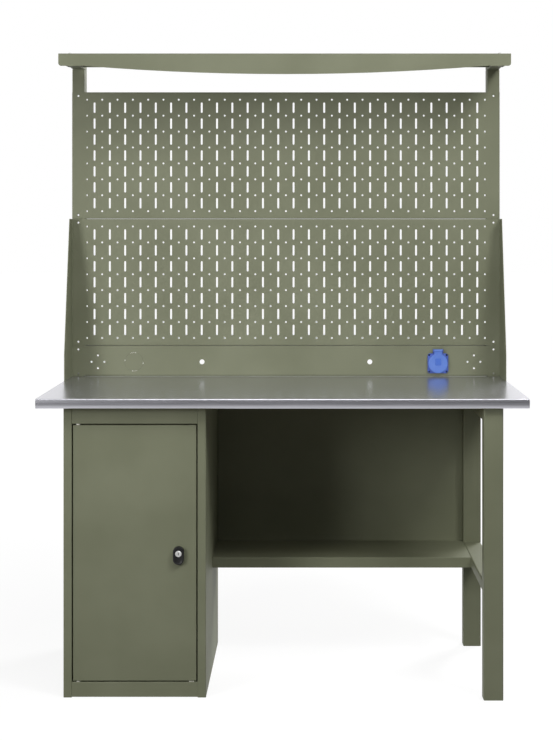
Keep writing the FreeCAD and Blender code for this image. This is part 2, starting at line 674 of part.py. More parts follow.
def door_stiffener():
    middle_x = (DOOR_LEFT_X + DOOR_RIGHT_X) / 2
    skin_y = CABINET_FRONT_Y + SHEET
    crown_y = skin_y + STIFFENER_RISE
    crown_x = STIFFENER_CROWN / 2
    foot_x = crown_x + STIFFENER_FLANGE
    path = [
        (middle_x - foot_x, skin_y),
        (middle_x - crown_x, skin_y),
        (middle_x - crown_x, crown_y),
        (middle_x + crown_x, crown_y),
        (middle_x + crown_x, skin_y),
        (middle_x + foot_x, skin_y),
    ]
    low_z = DOOR_BOTTOM_Z + STIFFENER_END_INSET
    high_z = DOOR_TOP_Z - STIFFENER_END_INSET
    save("door_stiffener", plan_plate([sheet_wire(path)], low_z, high_z))


def door_pivots():
    left_x = DOOR_LEFT_X + SHEET
    outline = rectangle(left_x, CABINET_FRONT_Y + SHEET, left_x + PIVOT_PLATE_LENGTH, DOOR_REAR_Y - SHEET)
    bore = circle_wire(PIVOT_X, PIVOT_Y, PIVOT_DIAMETER + 2 * PIN_CLEARANCE)
    low_seat = DOOR_BOTTOM_Z + SHEET
    high_seat = DOOR_TOP_Z - SHEET
    save("door_pivot_plates",
         plan_plate([outline, bore], low_seat, low_seat + PIVOT_PLATE_THICKNESS),
         plan_plate([outline, bore], high_seat - PIVOT_PLATE_THICKNESS, high_seat))
    length = SHEET + DOOR_GAP + SHEET + PIVOT_PLATE_THICKNESS + PIVOT_TIP
    sizes = (PIVOT_HEAD_DIAMETER, PIVOT_HEAD_HEIGHT, PIVOT_DIAMETER, length)
    low_head = FreeCAD.Vector(PIVOT_X, PIVOT_Y, PLINTH_HEIGHT - SHEET)
    high_head = FreeCAD.Vector(PIVOT_X, PIVOT_Y, OPENING_TOP_Z + SHEET)
    save("pivot_pins", headed(low_head, Z_AXIS, *sizes), headed(high_head, Z_AXIS.negative(), *sizes))
    ring = circle_wire(PIVOT_X, PIVOT_Y, WASHER_DIAMETER)
    save("pivot_washers",
         plan_plate([ring, bore], PLINTH_HEIGHT, DOOR_BOTTOM_Z - PIN_CLEARANCE),
         plan_plate([ring, bore], DOOR_TOP_Z + MOVING_CLEARANCE, OPENING_TOP_Z))


def door_rests():
    x = OPENING_RIGHT_X - DOOR_STOP_LIP / 2
    buffers = []
    for z in (DOOR_BOTTOM_Z + BUFFER_INSET, DOOR_TOP_Z - BUFFER_INSET):
        face = FreeCAD.Vector(x, DOOR_REAR_Y + MOVING_CLEARANCE, z)
        buffers.append(rod(BUFFER_DIAMETER, face, FreeCAD.Vector(x, STOP_LIP_Y, z)))
    save("door_buffers", *buffers)
    glide_x = DOOR_RIGHT_X - GLIDE_LENGTH
    save("door_glide", box(glide_x - GLIDE_LENGTH / 2, glide_x + GLIDE_LENGTH / 2,
                           PIVOT_Y - GLIDE_DEPTH / 2, PIVOT_Y + GLIDE_DEPTH / 2,
                           PLINTH_HEIGHT, DOOR_BOTTOM_Z - MOVING_CLEARANCE))


# Door lock: pull, housing and nut stay on the door, core and cam turn
def obround(u, low_v, high_v, radius):
    """Upright slot outline between two end centres."""
    right = FreeCAD.Vector(radius, 0, 0)
    up = FreeCAD.Vector(0, radius, 0)
    low = FreeCAD.Vector(u, low_v, 0)
    high = FreeCAD.Vector(u, high_v, 0)
    edges = [
        Part.Arc(high + right, high + up, high - right).toShape(),
        Part.LineSegment(high - right, low - right).toShape(),
        Part.Arc(low - right, low - up, low + right).toShape(),
        Part.LineSegment(low + right, high + right).toShape(),
    ]
    return Part.Wire(edges)


def lock_point(y):
    return FreeCAD.Vector(LOCK_X, y, LOCK_Z)


def lock_pull():
    half = PULL_WIDTH / 2
    high_centre = LOCK_Z + PULL_ABOVE_LOCK - half
    low_centre = LOCK_Z + PULL_ABOVE_LOCK - PULL_LENGTH + half
    front_y = CABINET_FRONT_Y - PULL_PROJECTION
    pull = front_plate([obround(LOCK_X, low_centre, high_centre, half)], front_y, CABINET_FRONT_Y)
    front_edges = [edge for edge in pull.Edges if edge.BoundBox.YMax < front_y + PULL_EDGE_RADIUS]
    pull = pull.makeFillet(PULL_EDGE_RADIUS, front_edges)
    scoop_y = front_y - PULL_SCOOP_RADIUS + PULL_SCOOP_DEPTH
    scoop = Part.makeSphere(PULL_SCOOP_RADIUS, FreeCAD.Vector(LOCK_X, scoop_y, low_centre))
    bore = hole_y(LOCK_X, LOCK_Z, LOCK_DIAMETER + 2 * SCREW_CLEARANCE, front_y, CABINET_FRONT_Y)
    save("lock_pull", pull.cut([scoop, bore]))


def lock_housing():
    front_y = CABINET_FRONT_Y - PULL_PROJECTION - LOCK_PROUD
    rear_y = CAM_FRONT_Y - MOVING_CLEARANCE
    barrel = rod(LOCK_DIAMETER, lock_point(front_y), lock_point(rear_y))
    bore = hole_y(LOCK_X, LOCK_Z, LOCK_CORE_DIAMETER + 2 * PIN_CLEARANCE, front_y, rear_y)
    save("lock_housing", barrel.cut(bore))
    nut = hexagon(LOCK_NUT_ACROSS, LOCK_NUT_HEIGHT, FreeCAD.Vector(0, 0, 0))
    nut = nut.cut(hole_z(0, 0, LOCK_DIAMETER + 2 * SCREW_CLEARANCE, 0, LOCK_NUT_HEIGHT))
    nut.Placement = FreeCAD.Placement(lock_point(CABINET_FRONT_Y + SHEET + LOCK_NUT_HEIGHT), FRONT_TURN)
    save("lock_nut", nut)


def lock_rotor():
    front_y = CABINET_FRONT_Y - PULL_PROJECTION - LOCK_PROUD
    core = rod(LOCK_CORE_DIAMETER, lock_point(front_y), lock_point(CAM_FRONT_Y))
    keyway = box(LOCK_X - LOCK_KEYWAY_WIDTH / 2, LOCK_X + LOCK_KEYWAY_WIDTH / 2,
                 front_y - CUT_OVERRUN, front_y + LOCK_KEYWAY_DEPTH,
                 LOCK_Z - LOCK_KEYWAY_LENGTH / 2, LOCK_Z + LOCK_KEYWAY_LENGTH / 2)
    screw_hole = rod(CAM_SCREW_DIAMETER + 2 * SCREW_CLEARANCE, lock_point(CAM_FRONT_Y + CUT_OVERRUN),
                     lock_point(CAM_FRONT_Y + CAM_THICKNESS - CAM_SCREW_LENGTH - SCREW_CLEARANCE))
    save("lock_core", core.cut([keyway, screw_hole]))
    half = CAM_WIDTH / 2
    cam = front_plate([obround(LOCK_X, LOCK_Z - CAM_LENGTH + half, LOCK_Z, half)],
                      CAM_FRONT_Y, CAM_FRONT_Y + CAM_THICKNESS)
    save("lock_cam", cam.cut(hole_y(LOCK_X, LOCK_Z, CAM_SCREW_DIAMETER + 2 * SCREW_CLEARANCE,
                                    CAM_FRONT_Y, CAM_FRONT_Y + CAM_THICKNESS)))
    save("cam_screw", headed(lock_point(CAM_FRONT_Y + CAM_THICKNESS), Y_AXIS.negative(),
                             CAM_SCREW_HEAD_DIAMETER, CAM_SCREW_HEAD_HEIGHT,
                             CAM_SCREW_DIAMETER, CAM_SCREW_LENGTH))


# Leg frame
def legs():
    inner_radius = TUBE_RADIUS - TUBE_WALL
    hole_diameter = MODESTY_BOLT_DIAMETER + 2 * SCREW_CLEARANCE
    bolt_holes = []
    for z in modesty_bolt_heights():
        bolt_holes.append(hole_x(MODESTY_Y + MODESTY_BOLT_INSET, z, hole_diameter,
                                 LEG_INNER_X, LEG_INNER_X + TUBE_WALL))
    plugs = []
    for name, low_y, holes in (("front_leg", FRONT_LEG_Y, []), ("rear_leg", REAR_LEG_Y, bolt_holes)):
        high_y = low_y + LEG_DEPTH
        outer = rectangle(LEG_INNER_X, low_y, LEG_OUTER_X, high_y, TUBE_RADIUS)
        inner = rectangle(LEG_INNER_X + TUBE_WALL, low_y + TUBE_WALL,
                          LEG_OUTER_X - TUBE_WALL, high_y - TUBE_WALL, inner_radius)
        leg = plan_plate([outer, inner], 0, WORKTOP_BOTTOM)
        save(name, leg.cut(holes) if holes else leg)
        gap = TUBE_WALL + PLUG_CLEARANCE
        plug = rectangle(LEG_INNER_X + gap, low_y + gap, LEG_OUTER_X - gap, high_y - gap, inner_radius)
        plugs.append(plan_plate([plug], 0, PLUG_HEIGHT))
    save("leg_end_plugs", *plugs)


def side_rail(name, low_z, high_z, holes):
    outer = rectangle(LEG_INNER_X, low_z, LEG_OUTER_X, high_z, TUBE_RADIUS)
    inner = rectangle(LEG_INNER_X + TUBE_WALL, low_z + TUBE_WALL,
                      LEG_OUTER_X - TUBE_WALL, high_z - TUBE_WALL, TUBE_RADIUS - TUBE_WALL)
    rail = front_plate([outer, inner], FRONT_LEG_Y + LEG_DEPTH, REAR_LEG_Y)
    save(name, rail.cut(holes) if holes else rail)


def side_rails():
    low_z = WORKTOP_BOTTOM - TOP_RAIL_TUBE_HEIGHT
    diameter = WORKTOP_SCREW_DIAMETER + 2 * SCREW_CLEARANCE
    holes = [hole_z(x, y, diameter, low_z, WORKTOP_BOTTOM) for x, y in rail_screw_places()]
    side_rail("top_side_rail", low_z, WORKTOP_BOTTOM, holes)
    side_rail("mid_side_rail", UNDER_SHELF_BOTTOM, UNDER_SHELF_HEIGHT, [])


# Under-shelf and modesty panel
def under_shelf():
    path = [
        (MODESTY_Y, UNDER_SHELF_BOTTOM),
        (MODESTY_Y, UNDER_SHELF_HEIGHT),
        (UNDER_SHELF_FRONT_Y, UNDER_SHELF_HEIGHT),
        (UNDER_SHELF_FRONT_Y, UNDER_SHELF_BOTTOM),
        (UNDER_SHELF_FRONT_Y + UNDER_SHELF_RETURN, UNDER_SHELF_BOTTOM),
    ]
    tray = side_plate([sheet_wire(path)], CABINET_RIGHT_X, LEG_INNER_X)
    low_y = UNDER_SHELF_FRONT_Y + SHEET
    high_y = MODESTY_Y - SHEET
    low_z = UNDER_SHELF_BOTTOM + SHEET
    high_z = UNDER_SHELF_HEIGHT - SHEET
    left_end = box(CABINET_RIGHT_X, CABINET_RIGHT_X + SHEET, low_y, high_y, low_z, high_z)
    right_end = box(LEG_INNER_X - SHEET, LEG_INNER_X, low_y, high_y, low_z, high_z)
    save("under_shelf", tray.fuse([left_end, right_end]).removeSplitter())


def modesty_bolt_heights():
    return (UNDER_SHELF_HEIGHT + MODESTY_BOLT_MARGIN, WORKTOP_BOTTOM - MODESTY_BOLT_MARGIN)


def modesty_panel():
    path = [
        (CABINET_RIGHT_X, BASE_REAR_Y),
        (CABINET_RIGHT_X, MODESTY_Y),
        (LEG_INNER_X, MODESTY_Y),
        (LEG_INNER_X, BASE_REAR_Y),
    ]
    panel = plan_plate([sheet_wire(path)], UNDER_SHELF_BOTTOM, WORKTOP_BOTTOM)
    diameter = MODESTY_BOLT_DIAMETER + 2 * SCREW_CLEARANCE
    sizes = (MODESTY_BOLT_HEAD_DIAMETER, MODESTY_BOLT_HEAD_HEIGHT, MODESTY_BOLT_DIAMETER, MODESTY_BOLT_LENGTH)
    y = MODESTY_Y + MODESTY_BOLT_INSET
    holes = []
    bolts = []
    for z in modesty_bolt_heights():
        holes.append(hole_x(y, z, diameter, CABINET_RIGHT_X, LEG_INNER_X))
        left_seat = FreeCAD.Vector(CABINET_RIGHT_X + SHEET, y, z)
        right_seat = FreeCAD.Vector(LEG_INNER_X - SHEET, y, z)
        bolts.append(headed(left_seat, X_AXIS.negative(), *sizes))
        bolts.append(headed(right_seat, X_AXIS, *sizes))
    save("modesty_panel", panel.cut(holes))
    save("modesty_bolts", *bolts)


# Posts with their feet and bolts
def fixing_places():
    """Heights of the fixing holes, two in each panel."""
    heights = [SERVICE_BOTTOM_Z + SERVICE_LOWER_FIXING_EDGE, SERVICE_TOP_Z - FIXING_HOLE_EDGE]
    for low_z in (LOWER_PANEL_Z, UPPER_PANEL_Z):
        heights += [low_z + FIXING_HOLE_EDGE, low_z + PANEL_HEIGHT - FIXING_HOLE_EDGE]
    return heights


def posts():
    path = [
        (-POST_OUTER_X, REAR_Y),
        (-POST_OUTER_X, POST_FRONT_Y),
        (-POST_INNER_X, POST_FRONT_Y),
        (-POST_INNER_X, REAR_Y),
    ]
    channel = sheet_wire(path, POST_SHEET)
    left = plan_plate([channel], WORKTOP_HEIGHT, ARM_BOTTOM_Z)
    holes = []
    for z in fixing_places():
        holes.append(hole_y(-POST_MIDDLE_X, z, FIXING_HOLE_DIAMETER, POST_FRONT_Y, POST_FOOT_Y))
    left = left.cut(holes)
    save("left_post", left)
    save("right_post", mirrored(left))


def post_feet():
    low_x = POST_INNER_X + POST_SHEET
    high_x = POST_OUTER_X - POST_SHEET
    foot_top = WORKTOP_HEIGHT + POST_FOOT_THICKNESS
    diameter = POST_BOLT_DIAMETER + 2 * SCREW_CLEARANCE
    holes = [circle_wire(x, y, diameter) for x, y in post_bolt_places() if x > 0]
    outline = rectangle(low_x, POST_FOOT_Y + BEND_RADIUS, high_x, REAR_Y)
    foot = plan_plate([outline] + holes, WORKTOP_HEIGHT, foot_top)
    save("post_feet", foot, mirrored(foot))
    bolts = []
    nuts = []
    nut_z = WORKTOP_BOTTOM - POST_NUT_HEIGHT
    tip_z = nut_z - POST_BOLT_TIP
    for x, y in post_bolt_places():
        seat = FreeCAD.Vector(x, y, foot_top)
        head = hexagon(POST_BOLT_ACROSS, POST_BOLT_HEAD_HEIGHT, seat)
        shank = rod(POST_BOLT_DIAMETER, FreeCAD.Vector(x, y, tip_z), seat)
        bolts.append(head.fuse(shank).removeSplitter())
        nut = hexagon(POST_BOLT_ACROSS, POST_NUT_HEIGHT, FreeCAD.Vector(x, y, nut_z))
        nuts.append(nut.cut(hole_z(x, y, diameter, nut_z, WORKTOP_BOTTOM)))
    save("post_bolts", *bolts)
    save("post_nuts", *nuts)


# Perforated panels and service panel
def folded_panel(low_z, high_z, holes):
    """Panel sheet with its holes, its long edges folded back between the posts."""
    outer_x = POST_OUTER_X
    fold_x = FOLD_HALF_WIDTH
    low_land = low_z + PANEL_FOLD_LAND
    high_land = high_z - PANEL_FOLD_LAND
    outline = outline_wire([
        (-outer_x, low_z), (-fold_x, low_z), (-fold_x, low_land), (fold_x, low_land),
        (fold_x, low_z), (outer_x, low_z), (outer_x, high_z), (fold_x, high_z),
        (fold_x, high_land), (-fold_x, high_land), (-fold_x, high_z), (-outer_x, high_z),
    ])
    flat = front_plate([outline] + holes, PANEL_Y, POST_FRONT_Y)
    fold_y = PANEL_Y + PANEL_FOLD
    low_path = [(PANEL_Y, low_land), (PANEL_Y, low_z), (fold_y, low_z)]
    high_path = [(fold_y, high_z), (PANEL_Y, high_z), (PANEL_Y, high_land)]
    folds = []
    for path in (low_path, high_path):
        wire = sheet_wire(path, PANEL_SHEET, PANEL_FOLD_BEND)
        folds.append(side_plate([wire], -fold_x, fold_x))
    return flat.fuse(folds).removeSplitter()


def fixing_holes(heights):
    wires = []
    for z in heights:
        for x in (-POST_MIDDLE_X, POST_MIDDLE_X):
            wires.append(circle_wire(x, z, FIXING_HOLE_DIAMETER))
    return wires


def pegboard(name, low_z):
    """Perforated panel: rows of upright slots punched on an even pitch."""
    high_z = low_z + PANEL_HEIGHT
    holes = fixing_holes((low_z + FIXING_HOLE_EDGE, high_z - FIXING_HOLE_EDGE))
    first_x = -PEG_COLUMN_PITCH * (PEG_COLUMNS - 1) / 2
    first_z = (low_z + high_z) / 2 - PEG_ROW_PITCH * (PEG_ROWS - 1) / 2
    for row in range(PEG_ROWS):
        z = first_z + row * PEG_ROW_PITCH
        for column in range(PEG_COLUMNS):
            x = first_x + column * PEG_COLUMN_PITCH
            holes.append(rectangle(x - SLOT_WIDTH / 2, z - SLOT_LENGTH / 2,
                                   x + SLOT_WIDTH / 2, z + SLOT_LENGTH / 2))
    save(name, folded_panel(low_z, high_z, holes))


def knockout_starts():
    """Angles at which the four cuts about the knockout's blank begin."""
    return [math.radians(KNOCKOUT_TURN_ANGLE) + index * math.pi / 2 for index in range(4)]


def knockout_spot(angle, distance):
    """Point of the front view at an angle and a distance from the knockout's middle."""
    x = distance * math.cos(angle) - SOCKET_X
    return FreeCAD.Vector(x, distance * math.sin(angle) + SERVICE_FEATURE_Z, 0)


def knockout_slots():
    """Four curved cuts about the blank of a knockout, with the bridges between them left uncut."""
    sweep = math.pi / 2 - math.radians(KNOCKOUT_BRIDGE_ANGLE)
    inner = (KNOCKOUT_DIAMETER - KNOCKOUT_KERF) / 2
    outer = (KNOCKOUT_DIAMETER + KNOCKOUT_KERF) / 2
    slots = []
    for start in knockout_starts():
        ends = [[knockout_spot(angle, distance) for angle in (start, start + sweep / 2, start + sweep)]
                for distance in (inner, outer)]
        slots.append(Part.Wire([
            Part.Arc(*ends[1]).toShape(),
            Part.LineSegment(ends[1][2], ends[0][2]).toShape(),
            Part.Arc(*ends[0][::-1]).toShape(),
            Part.LineSegment(ends[0][0], ends[1][0]).toShape(),
        ]))
    return slots


def knockout_pierces():
    """Small round holes where the cutting beam went through, one at the start of each cut."""
    drills = []
    for start in knockout_starts():
        spot = knockout_spot(start, KNOCKOUT_DIAMETER / 2)
        drills.append(hole_y(spot.x, spot.y, KNOCKOUT_PIERCE_DIAMETER, PANEL_Y, POST_FRONT_Y))
    return drills


def service_panel():
    holes = fixing_holes((SERVICE_BOTTOM_Z + SERVICE_LOWER_FIXING_EDGE, SERVICE_TOP_Z - FIXING_HOLE_EDGE))
    z = SERVICE_FEATURE_Z
    reach = CLUSTER_DIAMETER / 2
    for x in (-CLUSTER_X, CLUSTER_X):
        for across, up in ((reach, 0), (-reach, 0), (0, reach), (0, -reach)):
            holes.append(circle_wire(x + across, z + up, CLUSTER_HOLE_DIAMETER))
    for x in (-PASS_HOLE_X, PASS_HOLE_X):
        holes.append(circle_wire(x, z, PASS_HOLE_DIAMETER))
    holes += knockout_slots()
    holes.append(circle_wire(SOCKET_X, SOCKET_Z, SOCKET_CUP_DIAMETER + 2 * SCREW_CLEARANCE))
    for x, screw_z in socket_screw_places():
        holes.append(circle_wire(x, screw_z, SOCKET_SCREW_DIAMETER + 2 * SCREW_CLEARANCE))
    panel = folded_panel(SERVICE_BOTTOM_Z, SERVICE_TOP_Z, holes)
    save("service_panel", panel.cut(knockout_pierces()))


# Side gussets: plates on the outer faces of the posts, tapering upwards
def gussets():
    base_y = PANEL_Y - GUSSET_BASE_REACH
    top_y = PANEL_Y - GUSSET_TOP_REACH
    outline = outline_wire([
        (REAR_Y, WORKTOP_HEIGHT), (REAR_Y, GUSSET_TOP_Z), (top_y, GUSSET_TOP_Z),
        (base_y, WORKTOP_HEIGHT + GUSSET_UPRIGHT), (base_y, WORKTOP_HEIGHT),
    ])
    left = side_plate([outline], -POST_OUTER_X - GUSSET_SHEET, -POST_OUTER_X)
    save("left_gusset", left)
    save("right_gusset", mirrored(left))


# Canopy on two arms
def canopy_screw_places():
    places = []
    for x in (-CANOPY_SCREW_X, CANOPY_SCREW_X):
        for y in (CANOPY_FRONT_Y + CANOPY_SCREW_EDGE, CANOPY_REAR_Y - CANOPY_SCREW_EDGE):
            places.append((x, y))
    return places


def canopy_screw_holes(low_z, high_z):
    diameter = CANOPY_SCREW_DIAMETER + 2 * SCREW_CLEARANCE
    return [hole_z(x, y, diameter, low_z, high_z) for x, y in canopy_screw_places()]


def canopy_arms():
    outer = rectangle(-POST_OUTER_X, ARM_BOTTOM_Z, -POST_INNER_X, ARM_TOP_Z, TUBE_RADIUS)
    inner = rectangle(-POST_OUTER_X + TUBE_WALL, ARM_BOTTOM_Z + TUBE_WALL,
                      -POST_INNER_X - TUBE_WALL, ARM_TOP_Z - TUBE_WALL, TUBE_RADIUS - TUBE_WALL)
    left = front_plate([outer, inner], CANOPY_FRONT_Y + SHEET + BEND_RADIUS, REAR_Y)
    left = left.cut(canopy_screw_holes(ARM_TOP_Z - TUBE_WALL, ARM_TOP_Z))
    save("left_canopy_arm", left)
    save("right_canopy_arm", mirrored(left))


def fascia_wire():
    """Fascia outline: straight ends with round corners and a lower edge that bellies down in an arc."""
    land_z = CANOPY_TOP - FASCIA_FOLD_LAND
    end_z = CANOPY_TOP - FASCIA_END_HEIGHT
    middle_z = CANOPY_TOP - FASCIA_MIDDLE_HEIGHT
    arc_x = SIDE_X - FASCIA_STRAIGHT_END
    round_x = SIDE_X - FASCIA_CORNER_RADIUS
    round_z = end_z + FASCIA_CORNER_RADIUS
    diagonal = FASCIA_CORNER_RADIUS * math.sqrt(2) / 2
    bow_x = round_x + diagonal
    bow_z = round_z - diagonal

    def point(x, z):
        return FreeCAD.Vector(x, z, 0)

    edges = [
        Part.LineSegment(point(SIDE_X, land_z), point(-SIDE_X, land_z)),
        Part.LineSegment(point(-SIDE_X, land_z), point(-SIDE_X, round_z)),
        Part.Arc(point(-SIDE_X, round_z), point(-bow_x, bow_z), point(-round_x, end_z)),
        Part.LineSegment(point(-round_x, end_z), point(-arc_x, end_z)),
        Part.Arc(point(-arc_x, end_z), point(0, middle_z), point(arc_x, end_z)),
        Part.LineSegment(point(arc_x, end_z), point(round_x, end_z)),
        Part.Arc(point(round_x, end_z), point(bow_x, bow_z), point(SIDE_X, round_z)),
        Part.LineSegment(point(SIDE_X, round_z), point(SIDE_X, land_z)),
    ]
    return Part.Wire([edge.toShape() for edge in edges])


def canopy_hood():
    path = [
        (CANOPY_REAR_Y, CANOPY_TOP - CANOPY_REAR_FLANGE),
        (CANOPY_REAR_Y, CANOPY_TOP),
        (CANOPY_FRONT_Y, CANOPY_TOP),
        (CANOPY_FRONT_Y, CANOPY_TOP - FASCIA_FOLD_LAND),
    ]
    deck = side_plate([sheet_wire(path)], -SIDE_X, SIDE_X)
    fascia = front_plate([fascia_wire()], CANOPY_FRONT_Y, CANOPY_FRONT_Y + SHEET)
    notches = []
    for low_x in (-POST_OUTER_X, POST_INNER_X):
        notches.append(box(low_x - ARM_NOTCH_CLEARANCE, low_x + POST_WIDTH + ARM_NOTCH_CLEARANCE,
                           CANOPY_REAR_Y - SHEET - CUT_OVERRUN, CANOPY_REAR_Y + CUT_OVERRUN,
                           ARM_BOTTOM_Z - CUT_OVERRUN, ARM_TOP_Z))
    hood = deck.fuse(fascia).removeSplitter()
    save("canopy_hood", hood.cut(notches + canopy_screw_holes(ARM_TOP_Z, CANOPY_TOP)))


def canopy_ends():
    low_y = CANOPY_FRONT_Y + SHEET
    high_y = CANOPY_REAR_Y - SHEET
    high_z = CANOPY_TOP - SHEET
    outline = outline_wire([
        (low_y, CANOPY_TOP - FASCIA_END_HEIGHT + FASCIA_CORNER_RADIUS),
        (high_y, CANOPY_TOP - CANOPY_REAR_FLANGE),
        (high_y, high_z - BEND_RADIUS),
        (low_y, high_z - BEND_RADIUS),
    ])
    left = side_plate([outline], -SIDE_X, SHEET - SIDE_X)
    save("canopy_left_end", left)
    save("canopy_right_end", mirrored(left))


def canopy_screws():
    screws = []
    for x, y in canopy_screw_places():
        seat = FreeCAD.Vector(x, y, CANOPY_TOP)
        screws.append(headed(seat, Z_AXIS.negative(), CANOPY_SCREW_HEAD_DIAMETER, CANOPY_SCREW_HEAD_HEIGHT,
                             CANOPY_SCREW_DIAMETER, CANOPY_SCREW_LENGTH))
    save("canopy_screws", *screws)


# Socket with a sprung lid
def socket_point(y):
    return FreeCAD.Vector(SOCKET_X, y, SOCKET_Z)


def socket_screw_places():
    places = []
    for across in (-SOCKET_SCREW_X, SOCKET_SCREW_X):
        for up in (-SOCKET_SCREW_Z, SOCKET_SCREW_Z):
            places.append((SOCKET_X + across, SOCKET_Z + up))
    return places


def hinge_rod(diameter, low_across, high_across):
    start = FreeCAD.Vector(SOCKET_X + low_across, HINGE_Y, HINGE_Z)
    return rod(diameter, start, FreeCAD.Vector(SOCKET_X + high_across, HINGE_Y, HINGE_Z))


def hinge_bore():
    across = HINGE_WIDTH / 2 + CUT_OVERRUN
    return hinge_rod(HINGE_PIN_DIAMETER + 2 * PIN_CLEARANCE, -across, across)


def socket_base():
    half_width = SOCKET_WIDTH / 2
    half_height = SOCKET_PLATE_HEIGHT / 2
    z = SOCKET_Z
    plate = front_plate([rectangle(SOCKET_X - half_width, z - half_height, SOCKET_X + half_width,
                                   z + half_height, SOCKET_CORNER_RADIUS)], SOCKET_FRONT_Y, PANEL_Y)
    cup = rod(SOCKET_CUP_DIAMETER, socket_point(SOCKET_FRONT_Y), socket_point(PANEL_Y + SOCKET_CUP_DEPTH))
    half_hinge = HINGE_WIDTH / 2
    half_barrel = HINGE_BARREL_DIAMETER / 2
    root_z = z + half_height - SOCKET_CORNER_RADIUS
    solids = [cup]
    for low_across, high_across in ((-half_hinge, -EAR_INNER_ACROSS), (EAR_INNER_ACROSS, half_hinge)):
        low_x = SOCKET_X + low_across
        high_x = SOCKET_X + high_across
        solids.append(hinge_rod(HINGE_BARREL_DIAMETER, low_across, high_across))
        solids.append(box(low_x, high_x, HINGE_Y, PANEL_Y, HINGE_Z - half_barrel, HINGE_Z + half_barrel))
        solids.append(box(low_x, high_x, SOCKET_FRONT_Y, PANEL_Y, root_z, HINGE_Z))
    bore = hole_y(SOCKET_X, z, SOCKET_BORE_DIAMETER, SOCKET_FRONT_Y, PANEL_Y + SOCKET_CUP_DEPTH)
    cuts = [hinge_bore(), bore]
    recess_y = SOCKET_FRONT_Y + SOCKET_SCREW_HEAD_HEIGHT
    recess_diameter = SOCKET_SCREW_HEAD_DIAMETER + 2 * SCREW_CLEARANCE
    for x, screw_z in socket_screw_places():
        cuts.append(hole_y(x, screw_z, SOCKET_SCREW_DIAMETER + 2 * SCREW_CLEARANCE, SOCKET_FRONT_Y, PANEL_Y))
        start = FreeCAD.Vector(x, SOCKET_FRONT_Y - CUT_OVERRUN, screw_z)
        cuts.append(rod(recess_diameter, start, FreeCAD.Vector(x, recess_y, screw_z)))
    save("socket_base", plate.fuse(solids).cut(cuts).removeSplitter())


def socket_insides():
    rear_y = PANEL_Y + SOCKET_CUP_DEPTH
    front_y = rear_y - SOCKET_INSERT_THICKNESS
    insert = rod(SOCKET_BORE_DIAMETER - 2 * SCREW_CLEARANCE, socket_point(front_y), socket_point(rear_y))
    holes = []
    for across in (-SOCKET_PIN_PITCH / 2, SOCKET_PIN_PITCH / 2):
        holes.append(hole_y(SOCKET_X + across, SOCKET_Z, SOCKET_PIN_HOLE_DIAMETER, front_y, rear_y))
    save("socket_insert", insert.cut(holes))
    box_diameter = SOCKET_CUP_DIAMETER + 2 * SCREW_CLEARANCE
    outer = rod(box_diameter + 2 * SOCKET_BOX_WALL, socket_point(POST_FRONT_Y),
                socket_point(POST_FRONT_Y + SOCKET_BOX_DEPTH))
    inner = rod(box_diameter, socket_point(POST_FRONT_Y - CUT_OVERRUN),
                socket_point(POST_FRONT_Y + SOCKET_BOX_DEPTH - SOCKET_BOX_WALL))
    save("socket_box", outer.cut(inner))
    screws = []
    for x, z in socket_screw_places():
        seat = FreeCAD.Vector(x, SOCKET_FRONT_Y + SOCKET_SCREW_HEAD_HEIGHT, z)
        screws.append(headed(seat, Y_AXIS, SOCKET_SCREW_HEAD_DIAMETER, SOCKET_SCREW_HEAD_HEIGHT,
                             SOCKET_SCREW_DIAMETER, SOCKET_SCREW_LENGTH))
    save("socket_screws", *screws)


def socket_lid():
    disc = rod(LID_DIAMETER, socket_point(LID_FRONT_Y), socket_point(LID_REAR_Y))
    half_boss = LID_BOSS_WIDTH / 2
    boss_z = SOCKET_Z + LID_BOSS_RISE
    boss = box(SOCKET_X - half_boss, SOCKET_X + half_boss, LID_FRONT_Y - LID_BOSS_PROUD, LID_REAR_Y,
               boss_z - LID_BOSS_HEIGHT / 2, boss_z + LID_BOSS_HEIGHT / 2)
    knuckle = hinge_rod(HINGE_BARREL_DIAMETER, -KNUCKLE_ACROSS, KNUCKLE_ACROSS)
    tab = box(SOCKET_X - KNUCKLE_ACROSS, SOCKET_X + KNUCKLE_ACROSS,
              LID_FRONT_Y, LID_REAR_Y, SOCKET_Z, HINGE_Z)
    room_across = SPRING_LENGTH / 2 + MOVING_CLEARANCE
    room_diameter = SPRING_DIAMETER + 2 * MOVING_CLEARANCE
    room = hinge_rod(room_diameter, -room_across, room_across)
    mouth = box(SOCKET_X - room_across, SOCKET_X + room_across, HINGE_Y, HINGE_Y + HINGE_BARREL_DIAMETER,
                HINGE_Z - room_diameter / 2, HINGE_Z + room_diameter / 2)
    save("socket_lid", disc.fuse([boss, knuckle, tab]).cut([room, mouth, hinge_bore()]).removeSplitter())


def lid_hinge():
    half = HINGE_WIDTH / 2
    save("lid_pin", hinge_rod(HINGE_PIN_DIAMETER, -half, half))
    half_spring = SPRING_LENGTH / 2
    coil = hinge_rod(SPRING_DIAMETER, -half_spring, half_spring)
    save("lid_spring", coil.cut(hinge_bore()))


os.makedirs("parts", exist_ok=True)
worktop()
worktop_screws()
cabinet_sides()
cabinet_back()
cabinet_floor()
cabinet_top_rail()
cabinet_roof()
cabinet_shelf()
shelf_clips()
door_panel()
door_stiffener()
door_pivots()
door_rests()
lock_pull()
lock_housing()
lock_rotor()
legs()
side_rails()
under_shelf()
modesty_panel()
posts()
post_feet()
pegboard("lower_pegboard", LOWER_PANEL_Z)
pegboard("upper_pegboard", UPPER_PANEL_Z)
service_panel()
gussets()
canopy_arms()
canopy_hood()
canopy_ends()
canopy_screws()
socket_base()
socket_insides()
socket_lid()
lid_hinge()
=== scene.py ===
import math

import bmesh
import bpy
from mathutils import Matrix, Vector


